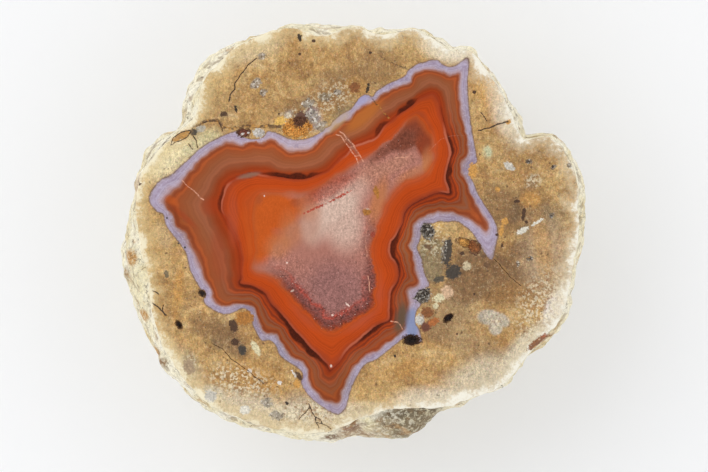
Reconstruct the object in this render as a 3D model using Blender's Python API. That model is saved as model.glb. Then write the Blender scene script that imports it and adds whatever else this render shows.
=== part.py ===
"""Half of a round agate nodule: cut across, polished, and lying on a small flat spot with its face up.

The stone is one piece. Its star of banded agate grew inside the host rock, so both are one solid.
The shape is a wall swept from the rim of the cut face, out over the belly and in to the flat spot.
Units below are millimetres, +Z is up, and the origin is the middle of the flat spot on the surface.
"""

import math

import bmesh
import bpy
import numpy as np
from mathutils import Matrix, Vector, noise

MM = 0.001

HEIGHT = 34.0
BELLY_HEIGHT = 22.5
FLAT_SPOT_RADIUS = (10.0, 8.6)

# How steeply the wall leaves the rim and meets the flat spot, in degrees along its two arcs.
RIM_START_DEG = 24.0
FOOT_END_DEG = 66.0

# Facets: columns go round the stone, rows go down from the rim.
COLUMNS = 128
UPPER_ROWS = 7
LOWER_ROWS = 18
CURVE_STEPS = 16
SHARP_DEG = 38.0

STONE_COLOUR = (0.46, 0.28, 0.13, 1.0)
STONE_ROUGHNESS = 0.4

# Stations round the stone, anticlockwise from +X: the rim of the cut face, then the belly beside it.
STATIONS = [
    ((33.7, 4.1), (34.8, 4.1)),
    ((33.6, 6.8), (34.5, 6.3)),
    ((33.0, 9.3), (33.9, 9.3)),
    ((31.9, 11.7), (32.7, 12.0)),
    ((30.7, 13.3), (31.2, 13.8)),
    ((29.2, 14.4), (29.3, 15.5)),
    ((27.9, 14.4), (27.8, 15.2)),
    ((26.9, 13.7), (26.9, 14.3)),
    ((26.1, 12.8), (26.3, 13.5)),
    ((25.2, 14.1), (25.8, 14.7)),
    ((24.3, 16.2), (25.2, 16.7)),
    ((23.2, 18.6), (24.3, 18.8)),
    ((20.2, 23.8), (21.2, 24.2)),
    ((18.9, 25.5), (19.5, 25.8)),
    ((18.1, 27.0), (18.5, 27.5)),
    ((16.6, 27.2), (16.8, 27.8)),
    ((14.5, 27.1), (14.6, 27.8)),
    ((12.9, 28.2), (13.1, 29.0)),
    ((11.1, 29.5), (11.1, 30.2)),
    ((8.9, 30.3), (8.9, 30.9)),
    ((6.7, 29.8), (6.8, 30.6)),
    ((4.4, 29.5), (4.4, 30.2)),
    ((2.6, 29.7), (2.6, 30.3)),
    ((1.0, 30.6), (1.1, 31.1)),
    ((-0.8, 30.6), (-0.9, 31.2)),
    ((-2.4, 29.8), (-2.7, 31.4)),
    ((-4.5, 29.1), (-5.0, 31.6)),
    ((-6.8, 29.7), (-7.1, 31.5)),
    ((-8.4, 30.6), (-9.0, 31.1)),
    ((-11.0, 30.4), (-11.4, 30.9)),
    ((-13.7, 29.5), (-14.3, 29.9)),
    ((-16.2, 28.3), (-17.0, 28.8)),
    ((-18.3, 27.1), (-19.4, 27.5)),
    ((-20.1, 25.3), (-22.1, 25.8)),
    ((-21.8, 23.4), (-24.0, 23.9)),
    ((-22.9, 21.1), (-25.4, 21.0)),
    ((-23.1, 18.7), (-25.8, 18.6)),
    ((-23.9, 16.6), (-25.8, 16.5)),
    ((-25.8, 15.1), (-27.2, 15.6)),
    ((-27.8, 13.6), (-29.3, 14.3)),
    ((-29.5, 11.5), (-30.9, 12.5)),
    ((-31.0, 9.6), (-32.1, 10.2)),
    ((-32.1, 7.5), (-33.0, 7.8)),
    ((-32.4, 5.1), (-33.2, 5.3)),
    ((-32.5, 2.7), (-33.8, 2.9)),
    ((-32.2, 0.1), (-34.2, 0.0)),
    ((-31.8, -2.6), (-34.7, -2.9)),
    ((-30.9, -5.4), (-34.8, -5.7)),
    ((-30.4, -8.4), (-33.9, -8.9)),
    ((-30.3, -11.4), (-32.9, -11.6)),
    ((-28.4, -17.0), (-30.3, -17.3)),
    ((-25.2, -22.0), (-26.4, -22.7)),
    ((-20.6, -26.4), (-21.3, -27.2)),
    ((-17.5, -27.7), (-18.3, -28.4)),
    ((-10.7, -29.7), (-11.1, -30.6)),
    ((-7.0, -30.1), (-7.5, -31.2)),
    ((-3.7, -29.7), (-3.7, -31.6)),
    ((-1.0, -28.8), (-0.4, -31.4)),
    ((1.4, -27.8), (2.6, -30.9)),
    ((3.9, -26.9), (5.6, -30.9)),
    ((6.4, -26.5), (8.1, -30.8)),
    ((8.9, -26.4), (9.9, -29.4)),
    ((11.1, -26.4), (12.0, -28.2)),
    ((13.2, -26.2), (13.7, -26.9)),
    ((15.7, -25.6), (16.2, -26.1)),
    ((18.7, -24.6), (19.1, -24.9)),
    ((21.4, -23.4), (21.8, -23.7)),
    ((23.7, -21.6), (24.2, -21.8)),
    ((25.5, -19.3), (26.0, -19.5)),
    ((26.9, -17.5), (27.6, -18.0)),
    ((28.8, -15.7), (30.0, -16.4)),
    ((30.4, -13.9), (31.7, -14.3)),
    ((31.6, -11.4), (32.4, -11.7)),
    ((32.4, -8.7), (33.0, -8.9)),
    ((32.8, -5.7), (33.6, -5.7)),
    ((33.4, -2.7), (34.3, -2.7)),
    ((33.7, 0.6), (34.6, 0.6)),
]

# Below the belly the outline loses its sharp notch: this share of the columns is averaged by the foot.
ROUNDED_SHARE = 0.2

# Relief of the rind: (size of its lumps, how far they stand out), coarse to fine.
LUMPS = [(14.0, 1.7), (7.0, 1.2), (3.4, 0.55)]
WART_SPACING = 5.4
WART_HEIGHT = 1.0
LEDGE_SPACING = 7.5
LEDGE_HEIGHT = 0.9
LEDGE_FACE_SHARE = 0.3
LEDGE_WAVE_LENGTH = 10.0
LEDGE_WAVE_HEIGHT = 5.0
SMOOTH_RIM = 3.5
SMOOTH_FOOT = 5.0
BODY_MIDDLE = Vector((0.0, 0.0, 20.0))

# Relief may not widen the outline from above. Rows as far down as this angle can show there, and the
# correction is evened over so many columns on each side.
LAST_WIDE_DEG = 115.0
EVENED_COLUMNS = 2

# Swellings and hollows of the wall: (middle), reach, how far out.
SWELLINGS = [
    ((7.5, -29.5, 28.5), 6.0, 0.8),
    ((-34.0, -5.0, 24.0), 8.0, 0.5),
    ((27.5, -18.0, 26.0), 4.5, -1.1),
    ((-21.0, -20.0, 13.0), 8.0, -1.8),
    ((19.0, 21.0, 15.0), 8.0, -1.6),
    ((-12.0, 26.0, 17.0), 7.0, 1.4),
    ((27.0, -6.0, 10.0), 8.0, 1.6),
    ((-4.0, -24.0, 8.0), 7.0, 1.5),
    ((-25.0, 12.0, 12.0), 7.0, -1.6),
    ((10.0, 14.0, 3.0), 8.0, 1.2),
]

# A pit's wall is this uneven: lump size against its radius, and how far the lumps go in or out.
PIT_LUMP_SHARE = 0.6
PIT_UNEVEN_SHARE = 0.35

# Open pits in the cut face: (x, y), then (half length, half width, depth), then the turn in degrees.
PITS = {
    "crumbly_vug": ((-8.3, 15.7), (2.3, 1.5, 1.5), 10.0),
    "rim_hollow": ((-16.4, 14.9), (1.0, 0.65, 0.6), 5.0),
    "black_vug": ((8.8, -16.2), (1.35, 0.85, 1.2), 0.0),
    "upper_bubble": ((11.2, 0.1), (0.95, 1.15, 0.8), 30.0),
    "lower_bubble": ((10.5, -9.6), (1.2, 1.0, 0.8), 20.0),
    "rusty_hollow": ((18.1, -2.2), (1.3, 0.9, 0.6), -40.0),
    "rusty_top": ((16.7, -1.6), (1.2, 0.7, 0.5), -20.0),
    "oblong_hole": ((-26.1, -13.9), (0.75, 0.35, 0.9), -55.0),
    "slanting_hole": ((14.3, -12.9), (0.95, 0.5, 0.9), 32.0),
    "left_hollow": ((-22.6, -9.2), (0.75, 0.5, 0.6), -35.0),
}


def smoothstep(value):
    """0 below 0, 1 above 1 and an even S between them."""
    value = min(1.0, max(0.0, value))
    return value * value * (3.0 - 2.0 * value)


def column_points(count):
    """Each column's rim, belly and rounded belly, at even steps round the stone, on closed curves."""
    knots = np.array([rim + belly for rim, belly in STATIONS])
    before, after, beyond = (np.roll(knots, shift, axis=0) for shift in (1, -1, -2))
    steps = np.linspace(0.0, 1.0, CURVE_STEPS, endpoint=False)[:, None, None]
    curve = 0.5 * (
        2.0 * knots
        + (after - before) * steps
        + (2.0 * before - 5.0 * knots + 4.0 * after - beyond) * steps**2
        + (3.0 * knots - before - 3.0 * after + beyond) * steps**3
    )
    curve = curve.transpose(1, 0, 2).reshape(-1, 4)
    closed = np.vstack([curve, curve[:1]])
    lengths = np.linalg.norm(np.diff(closed, axis=0), axis=1)
    along = np.concatenate([[0.0], np.cumsum(lengths)])
    wanted = np.linspace(0.0, along[-1], count, endpoint=False)
    columns = np.stack([np.interp(wanted, along, closed[:, axis]) for axis in range(4)], axis=1)
    reach = round(count * ROUNDED_SHARE / 2.0)
    rounded = sum(np.roll(columns[:, 2:], shift, axis=0) for shift in range(-reach, reach + 1))
    return np.hstack([columns, rounded / (2 * reach + 1)])


def wall_angles():
    """Angles down the wall, row by row, from the rim over the belly at 90 degrees to the foot."""
    upper = np.linspace(RIM_START_DEG, 90.0, UPPER_ROWS, endpoint=False)
    lower = np.linspace(90.0, 90.0 + FOOT_END_DEG, LOWER_ROWS + 1)
    return np.concatenate([upper, lower])


def wall_point(column, angle_deg):
    """The bare wall, before its relief, at one column and one angle down it."""
    rim, belly, rounded = Vector(column[:2]), Vector(column[2:4]), Vector(column[4:])
    if angle_deg <= 90.0:
        start, angle = math.radians(RIM_START_DEG), math.radians(angle_deg)
        out = (math.sin(angle) - math.sin(start)) / (1.0 - math.sin(start))
        flat = rim.lerp(belly, out)
        height = BELLY_HEIGHT + (HEIGHT - BELLY_HEIGHT) * math.cos(angle) / math.cos(start)
    else:
        end, angle = math.radians(FOOT_END_DEG), math.radians(angle_deg - 90.0)
        turn = math.atan2(rounded.y, rounded.x)
        foot = Vector((FLAT_SPOT_RADIUS[0] * math.cos(turn), FLAT_SPOT_RADIUS[1] * math.sin(turn)))
        out = (math.cos(angle) - math.cos(end)) / (1.0 - math.cos(end))
        flat = foot.lerp(belly.lerp(rounded, smoothstep(angle / end)), out)
        height = BELLY_HEIGHT * (1.0 - math.sin(angle) / math.sin(end))
    return Vector((flat.x, flat.y, height))


def ledge_relief(point):
    """Shallow overlapping ledges: each rises slowly and drops over its short lower face."""
    wave = LEDGE_WAVE_HEIGHT * noise.noise(point / LEDGE_WAVE_LENGTH)
    level = (point.z + wave) / LEDGE_SPACING
    share = level - math.floor(level)
    return LEDGE_HEIGHT * (smoothstep(share / LEDGE_FACE_SHARE) - share)


def rind_relief(point):
    """How far the rind stands out of the bare wall: lumps, round warts, ledges and single swellings."""
    height = sum(tall * noise.noise(point / size) for size, tall in LUMPS)
    height += WART_HEIGHT * (0.5 - noise.voronoi(point / WART_SPACING)[0][0])
    height += ledge_relief(point)
    for middle, reach, out in SWELLINGS:
        height += out * smoothstep(1.0 - (point - Vector(middle)).length / reach)
    return height


def rind_point(column, angle_deg, sunk=0.0):
    """The finished wall, sunk by so much. Its relief fades out at the rim and the foot, which stay true."""
    point = wall_point(column, angle_deg)
    fade = smoothstep((HEIGHT - point.z) / SMOOTH_RIM) * smoothstep(point.z / SMOOTH_FOOT)
    outward = (point - BODY_MIDDLE).normalized()
    return point + outward * (rind_relief(point) - sunk) * fade


def outline_excess(column):
    """How far the relief stands out past one column's belly, seen from above."""
    upper = [rind_point(column, angle) for angle in wall_angles() if angle < LAST_WIDE_DEG]
    return max(point.xy.length for point in upper) - Vector(column[2:4]).length


def sunk_depths(columns):
    """How far each column sinks to keep the outline from above true, evened over its neighbours."""
    excess = np.array([outline_excess(column) for column in columns])
    shifts = range(-EVENED_COLUMNS, EVENED_COLUMNS + 1)
    return sum(np.roll(excess, shift) for shift in shifts) / len(shifts)


def stone_material():
    material = bpy.data.materials.new("banded_agate_in_tan_rock")
    material.use_nodes = True
    shader = material.node_tree.nodes["Principled BSDF"]
    shader.inputs["Base Color"].default_value = STONE_COLOUR
    shader.inputs["Roughness"].default_value = STONE_ROUGHNESS
    shader.inputs["Metallic"].default_value = 0.0
    return material


def make_nodule():
    """The stone before its pits are cut: wall, flat cut face and flat spot."""
    mesh = bmesh.new()
    columns = column_points(COLUMNS)
    depths = sunk_depths(columns)
    rings = [
        [mesh.verts.new(rind_point(column, angle, depth) * MM) for column, depth in zip(columns, depths)]
        for angle in wall_angles()
    ]
    for upper, lower in zip(rings, rings[1:]):
        for here in range(COLUMNS):
            there = (here + 1) % COLUMNS
            mesh.faces.new((upper[here], lower[here], lower[there], upper[there]))
    mesh.faces.new(rings[0])
    mesh.faces.new(reversed(rings[-1]))
    bmesh.ops.triangulate(mesh, faces=[face for face in mesh.faces if len(face.verts) == 4])
    data = bpy.data.meshes.new("agate_nodule")
    mesh.to_mesh(data)
    mesh.free()
    nodule = bpy.data.objects.new("agate_nodule", data)
    bpy.context.scene.collection.objects.link(nodule)
    data.materials.append(stone_material())
    data.shade_smooth()
    data.set_sharp_from_angle(angle=math.radians(SHARP_DEG))
    return nodule


def make_pit_cutter(name, place, size, turn_deg):
    """A lumpy ball round a point of the cut face, which takes a pit out of it."""
    mesh = bmesh.new()
    bmesh.ops.create_icosphere(mesh, subdivisions=2, radius=1.0)
    turn = Matrix.Rotation(math.radians(turn_deg), 3, "Z")
    middle = Vector((*place, HEIGHT))
    for vertex in mesh.verts:
        grown = vertex.co * (1.0 + PIT_UNEVEN_SHARE * noise.noise(vertex.co / PIT_LUMP_SHARE + middle))
        shaped = Vector((grown.x * size[0], grown.y * size[1], grown.z * size[2]))
        vertex.co = (middle + turn @ shaped) * MM
    data = bpy.data.meshes.new(name)
    mesh.to_mesh(data)
    mesh.free()
    cutter = bpy.data.objects.new(name, data)
    bpy.context.scene.collection.objects.link(cutter)
    cutter.hide_render = True
    cutter.display_type = "WIRE"
    return cutter


def cut_pits(nodule):
    for name, (place, size, turn_deg) in PITS.items():
        cut = nodule.modifiers.new(name, "BOOLEAN")
        cut.operation = "DIFFERENCE"
        cut.object = make_pit_cutter(name, place, size, turn_deg)


def main():
    for old in list(bpy.data.objects):
        bpy.data.objects.remove(old)
    cut_pits(make_nodule())


main()
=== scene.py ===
"""The looks of half an agate nodule: a star of banded agate in tan rock, cut, polished and lying face up.

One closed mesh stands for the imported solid. Its wall follows that solid with a finer rind on it. Its cut face
is a fine net with real cracks and pits, and it carries the distances that its bands are drawn from.
Lengths are millimetres, the frame is in metres, and colours are sRGB from 0 to 255. A patch is an ellipse on
the cut face: the x and y of its middle, half its length, half its width and its turn in degrees.
"""

import math

import bpy
import numpy as np
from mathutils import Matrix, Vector, noise
from mathutils.bvhtree import BVHTree
from mathutils.geometry import delaunay_2d_cdt
from mathutils.kdtree import KDTree


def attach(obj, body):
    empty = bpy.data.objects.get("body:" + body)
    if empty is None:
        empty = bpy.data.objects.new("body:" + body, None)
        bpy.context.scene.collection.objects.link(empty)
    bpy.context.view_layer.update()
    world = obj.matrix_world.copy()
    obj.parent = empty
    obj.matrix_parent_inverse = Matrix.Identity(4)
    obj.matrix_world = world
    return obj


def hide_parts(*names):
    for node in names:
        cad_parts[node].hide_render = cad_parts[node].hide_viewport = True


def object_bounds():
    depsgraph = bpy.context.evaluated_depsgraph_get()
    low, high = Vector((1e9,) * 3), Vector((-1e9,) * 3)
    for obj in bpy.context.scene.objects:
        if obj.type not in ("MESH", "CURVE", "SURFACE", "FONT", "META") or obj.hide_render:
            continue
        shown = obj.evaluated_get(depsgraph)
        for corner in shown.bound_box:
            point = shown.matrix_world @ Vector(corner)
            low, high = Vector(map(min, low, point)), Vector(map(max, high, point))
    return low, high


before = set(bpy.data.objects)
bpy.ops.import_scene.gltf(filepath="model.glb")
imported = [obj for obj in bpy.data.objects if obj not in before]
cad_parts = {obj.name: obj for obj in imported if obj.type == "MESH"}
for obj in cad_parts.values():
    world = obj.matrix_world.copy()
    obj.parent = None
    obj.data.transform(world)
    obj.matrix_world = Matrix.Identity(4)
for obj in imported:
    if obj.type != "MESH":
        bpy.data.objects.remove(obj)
CAD_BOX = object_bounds()

MM = 0.001
NODE = "agate_nodule"
PIECE = "nodule_half"
HEIGHT = CAD_BOX[1].z / MM

# The point that the wall's rows turn round, and a distance beyond the whole stone.
BODY_MIDDLE = np.array((0.0, 0.0, 20.0))
FAR_AWAY = 90.0

# The net: columns round the stone, rows down its wall, and steps on the cut face and the flat spot.
COLUMNS = 480
WALL_ROWS = 84
FACE_STEP = 0.33
PIT_STEP = 0.13
LINE_STEP = 0.22
FOOT_STEP = 1.0
SHARP_DEG = 55.0

# The pieces of a curve between two knots, how many points are measured at once, and next to nothing.
CURVE_STEPS = 12
BATCH = 4000
TINY = 1e-12

# The rind stands a little further out than the solid, and has knobs, pocks and flakes of these sizes.
PROUD = 0.1
KNOB_SIZE = 2.3
POCK_SIZE = 1.5
FLAKE_HEIGHT = 2.6

# The depth of an open crack and of a pale line.
CRACK_DEPTH = 0.11
PALE_LINE_DEPTH = 0.02

# How low the rind's stains reach, and those of its uppermost edge.
STAIN_FOOT = 24.0
RIM_STAIN_FOOT = 29.0

# How rough the polish is on the rock and on the agate, and how rough a pit is.
ROCK_ROUGHNESS = 0.42
AGATE_ROUGHNESS = 0.16
PIT_ROUGHNESS = 0.75

# The floor and the window, in metres and watts.
FLOOR_REACH = 4.0
WINDOW_PLACE = (-1.4, 1.0, 2.2)
WINDOW_SIZE = 2.2
WINDOW_POWER = 11.5

# The camera's lens, and what it sees at the height of the cut face.
LENS = 300.0
SENSOR_WIDTH = 36.0
VIEW_WIDTH = 106.2
VIEW_MIDDLE = (0.15, -0.6)

# The star's growth bands, each a closed line, anticlockwise from +X at the top: where the rock ends.
ROCK_EDGE = [
    (15.6, 25.1), (14.8, 24.8), (13.9, 24.9), (13.2, 25.3), (12.8, 25.8), (11.5, 25.8), (10.8, 25.5),
    (9.6, 25.2), (8.1, 24.1), (7.8, 23.4), (5.2, 22.2), (3.4, 21.0), (3.0, 20.2), (2.2, 20.6), (1.3, 20.4),
    (0.8, 19.9), (0.3, 19.2), (-0.4, 18.4), (-1.5, 17.8), (-3.0, 16.6), (-3.4, 15.9), (-4.2, 15.6),
    (-4.6, 15.1), (-6.6, 14.1), (-9.2, 13.9), (-11.2, 14.8), (-12.4, 15.1), (-13.0, 15.0), (-13.5, 14.2),
    (-15.3, 13.9), (-17.2, 14.7), (-17.7, 15.1), (-20.1, 14.2), (-22.3, 13.0), (-24.1, 11.5), (-24.9, 10.7),
    (-25.8, 10.0), (-27.4, 8.5), (-28.5, 8.1), (-30.0, 6.6), (-30.6, 4.8), (-29.4, 3.0), (-28.5, 2.7),
    (-27.9, 0.8), (-25.3, -2.7), (-24.9, -3.8), (-24.3, -6.1), (-22.6, -9.0), (-22.1, -9.6), (-22.5, -10.2),
    (-21.9, -11.1), (-19.9, -12.2), (-18.8, -12.3), (-17.7, -12.0), (-16.9, -11.5), (-16.1, -11.5),
    (-15.4, -12.2), (-15.1, -13.0), (-15.0, -14.1), (-13.7, -16.3), (-12.8, -16.2), (-12.0, -16.5),
    (-11.4, -17.4), (-11.1, -18.3), (-10.3, -19.1), (-7.9, -20.7), (-7.5, -21.8), (-7.8, -22.6),
    (-6.6, -24.6), (-4.6, -26.2), (-2.4, -27.4), (-1.2, -26.6), (-0.9, -25.8), (-0.1, -23.1), (1.6, -20.1),
    (3.8, -18.9), (7.8, -15.8), (8.7, -16.1), (10.3, -16.5), (10.2, -15.6), (10.0, -14.7), (9.4, -13.9),
    (9.3, -12.8), (9.6, -11.7), (10.2, -10.9), (10.3, -9.8), (10.9, -8.5), (11.5, -7.9), (10.7, -6.1),
    (10.3, -4.0), (9.6, -2.4), (9.9, -1.6), (10.7, 0.9), (12.0, 1.3), (13.0, 1.6), (14.1, 1.5), (15.3, 1.6),
    (16.3, 1.2), (18.0, -0.3), (19.1, -2.2), (20.7, -4.2), (21.3, -2.7), (21.6, 0.8), (18.9, 5.4),
    (18.4, 6.6), (17.6, 8.5), (17.6, 9.4), (18.0, 10.2), (18.6, 10.8), (17.7, 16.1), (17.2, 22.1),
    (17.4, 26.1),
]

# The inner edge of the lilac band.
LILAC_EDGE = [
    (16.1, 24.0), (14.5, 23.6), (11.5, 24.4), (9.3, 23.6), (8.7, 22.9), (8.2, 22.2), (5.7, 21.3),
    (0.4, 18.0), (-0.4, 17.1), (-1.8, 16.5), (-3.4, 15.1), (-4.3, 14.8), (-6.5, 12.6), (-9.8, 12.0),
    (-11.2, 13.2), (-12.2, 13.7), (-14.1, 13.3), (-14.8, 13.7), (-15.9, 13.2), (-16.9, 13.0), (-18.8, 13.5),
    (-19.9, 13.0), (-22.1, 11.7), (-25.6, 7.4), (-26.1, 6.9), (-26.7, 6.5), (-27.2, 6.0), (-28.3, 4.7),
    (-28.0, 3.9), (-27.1, 2.7), (-26.7, 0.9), (-25.2, 0.1), (-24.8, -0.4), (-23.7, -3.8), (-23.1, -4.8),
    (-22.2, -7.2), (-21.3, -8.8), (-21.3, -9.8), (-20.7, -10.5), (-19.6, -11.1), (-18.6, -11.2),
    (-16.6, -10.7), (-14.8, -11.4), (-13.8, -14.2), (-13.2, -14.8), (-11.5, -15.3), (-9.8, -18.0),
    (-7.9, -19.2), (-7.0, -20.1), (-6.6, -21.1), (-6.6, -22.2), (-6.1, -23.2), (-4.5, -24.9), (-2.5, -25.8),
    (-1.9, -25.2), (-1.8, -24.1), (-0.1, -20.8), (0.8, -19.6), (1.3, -18.8), (3.4, -17.8), (5.5, -16.2),
    (7.6, -15.1), (8.5, -13.2), (8.4, -10.9), (7.9, -10.2), (7.9, -9.0), (8.4, -8.2), (9.8, -7.5),
    (9.2, -5.4), (8.4, -2.2), (8.7, -1.3), (9.0, 0.8), (10.2, 2.4), (12.2, 3.0), (13.2, 3.3), (15.6, 2.9),
    (17.8, 1.8), (19.9, 0.0), (20.1, 1.6), (18.0, 4.8), (16.9, 7.8), (16.3, 8.7), (16.2, 9.6), (16.5, 10.7),
    (17.2, 11.5), (17.1, 13.8), (16.8, 15.0), (16.6, 16.5), (16.3, 17.8), (16.3, 19.2), (15.8, 21.6),
    (15.9, 22.8), (16.2, 23.4),
]

# The inner edge of the darkest line, where the brown bands end and the orange one begins.
DARK_LINE = [
    (-17.6, -0.6), (-16.9, -3.0), (-16.7, -5.5), (-16.7, -7.0), (-17.1, -7.8), (-15.8, -7.8), (-14.7, -8.1),
    (-13.0, -9.4), (-12.3, -10.5), (-6.8, -16.9), (-3.9, -19.8), (-3.3, -20.8), (-0.1, -17.1), (3.8, -13.8),
    (5.0, -13.3), (5.5, -12.6), (5.7, -9.0), (6.8, -6.8), (6.5, -4.6), (5.8, -3.8), (5.5, -2.7),
    (5.7, -1.5), (6.5, -0.6), (7.9, 3.1), (9.9, 4.8), (12.6, 5.8), (14.5, 5.7), (14.5, 6.3), (13.9, 8.4),
    (14.6, 11.2), (14.6, 12.9), (13.8, 15.3), (13.1, 17.8), (12.8, 19.6), (12.1, 20.9), (10.2, 20.1),
    (8.1, 18.5), (5.6, 16.8), (3.1, 14.2), (0.8, 13.2), (-0.9, 12.0), (-4.6, 8.8), (-9.2, 7.9),
    (-13.5, 8.7), (-16.2, 8.5), (-18.6, 7.6), (-19.6, 5.5), (-19.8, 4.0), (-19.4, 2.5), (-18.6, 1.0),
]

# The inner edge of the bright orange band, where the quartz begins.
QUARTZ_EDGE = [
    (-14.8, -1.9), (-15.0, 3.7), (-13.8, 5.6), (-8.2, 6.1), (-5.2, 6.8), (-0.1, 10.2), (2.1, 11.4),
    (6.0, 14.2), (8.5, 16.8), (10.0, 17.1), (12.2, 13.5), (12.0, 12.3), (12.0, 10.8), (10.5, 8.5),
    (8.1, 7.6), (6.1, 6.1), (3.8, 1.5), (3.6, 0.3), (2.7, -2.7), (3.1, -5.4), (3.6, -6.5), (3.1, -8.7),
    (3.3, -10.9), (1.1, -12.6), (-2.4, -14.7), (-3.4, -14.8), (-5.4, -13.7), (-9.4, -9.6), (-11.5, -7.2),
    (-14.2, -6.4), (-15.2, -5.4), (-14.9, -4.4),
]

# How far bubbles and waves move the lilac band's inner edge, the dark line and the quartz's edge.
BUBBLE_SIZE, BUBBLE_HEIGHT = 1.8, 0.7
LINE_WAVE_SIZE, LINE_WAVE_HEIGHT = 2.4, 0.3
QUARTZ_WAVE_SIZE, QUARTZ_WAVE_HEIGHT = 1.8, 0.4

# Colours across the bands. A band's number runs from 0 at the rock's edge, through 1 at the lilac band's
# inner edge and 2 at the dark line, to 3 where the quartz begins. The left and top are broadly banded.
BROAD_BANDS = [
    (0.0, (128, 104, 90)), (0.05, (148, 130, 126)), (0.12, (162, 145, 158)), (0.26, (172, 157, 178)),
    (0.36, (160, 143, 162)), (0.48, (175, 161, 180)), (0.66, (177, 155, 166)), (0.8, (172, 140, 142)),
    (0.92, (162, 112, 100)), (1.0, (156, 90, 62)), (1.06, (142, 68, 40)), (1.13, (170, 84, 44)),
    (1.2, (154, 80, 46)), (1.36, (152, 87, 55)), (1.52, (154, 91, 63)), (1.64, (148, 82, 54)),
    (1.72, (145, 72, 42)), (1.8, (150, 63, 30)), (1.9, (152, 58, 24)), (2.0, (154, 55, 25)),
    (2.08, (164, 66, 35)), (2.26, (180, 70, 26)), (2.6, (185, 71, 24)), (2.96, (184, 76, 28)),
    (3.06, (180, 84, 40)),
]

# The same along the lower left, the bottom and the right, where fine brown and orange lines alternate.
LINED_BANDS = [
    (0.0, (116, 96, 84)), (0.05, (136, 120, 118)), (0.12, (146, 130, 138)), (0.28, (158, 142, 158)),
    (0.37, (142, 124, 136)), (0.46, (162, 144, 158)), (0.66, (158, 132, 136)), (0.78, (158, 126, 122)),
    (0.88, (154, 104, 88)), (0.96, (146, 76, 46)), (1.02, (134, 64, 38)), (1.08, (138, 66, 36)),
    (1.16, (152, 78, 42)), (1.25, (140, 86, 62)), (1.31, (148, 82, 50)), (1.38, (138, 64, 34)),
    (1.45, (138, 80, 58)), (1.51, (152, 66, 32)), (1.58, (168, 68, 28)), (1.64, (142, 56, 28)),
    (1.69, (122, 50, 30)), (1.75, (162, 64, 28)), (1.82, (158, 60, 26)), (1.88, (128, 50, 28)),
    (1.95, (112, 42, 28)), (2.0, (140, 58, 36)), (2.06, (160, 66, 36)), (2.24, (176, 68, 26)),
    (2.5, (185, 71, 24)), (2.96, (183, 76, 30)), (3.06, (172, 84, 44)),
]
LAST_BAND = 3.2

# How wide the dark line is, and how far inside its inner edge the pinkish line runs.
DARK_LINE_WIDTH = 0.9
PINK_LINE_PLACE = 0.16

# From the quartz's edge inwards: dark grains, a red line at about 2 mm and then the quartz's own colour.
CRUST_DEPTH = 3.0
CRUST_COLOURS = [
    (0.0, (150, 62, 36)), (0.1, (124, 62, 50)), (0.28, (116, 70, 64)), (0.46, (128, 78, 72)),
    (0.55, (142, 78, 70)), (0.61, (164, 72, 60)), (0.68, (154, 86, 78)), (0.8, (150, 104, 98)),
    (1.0, (155, 112, 104)),
]

# What the crystals of a pocket are coloured, by share.
CRYSTALS = [
    (0.0, (44, 38, 34)), (0.3, (96, 84, 72)), (0.55, (142, 128, 110)), (0.75, (178, 168, 154)),
    (0.9, (222, 216, 204)), (1.0, (248, 244, 236)),
]

# The soft clouds of the rock and of the rind, from dark to light.
ROCK_CLOUDS = [
    (0.28, (144, 102, 58)), (0.4, (168, 128, 76)), (0.5, (185, 146, 91)), (0.6, (198, 163, 108)),
    (0.74, (214, 188, 142)),
]
RIND_CLOUDS = [
    (0.28, (196, 168, 118)), (0.38, (222, 204, 160)), (0.47, (238, 228, 196)), (0.6, (245, 238, 216)),
    (0.8, (246, 243, 232)),
]

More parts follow.
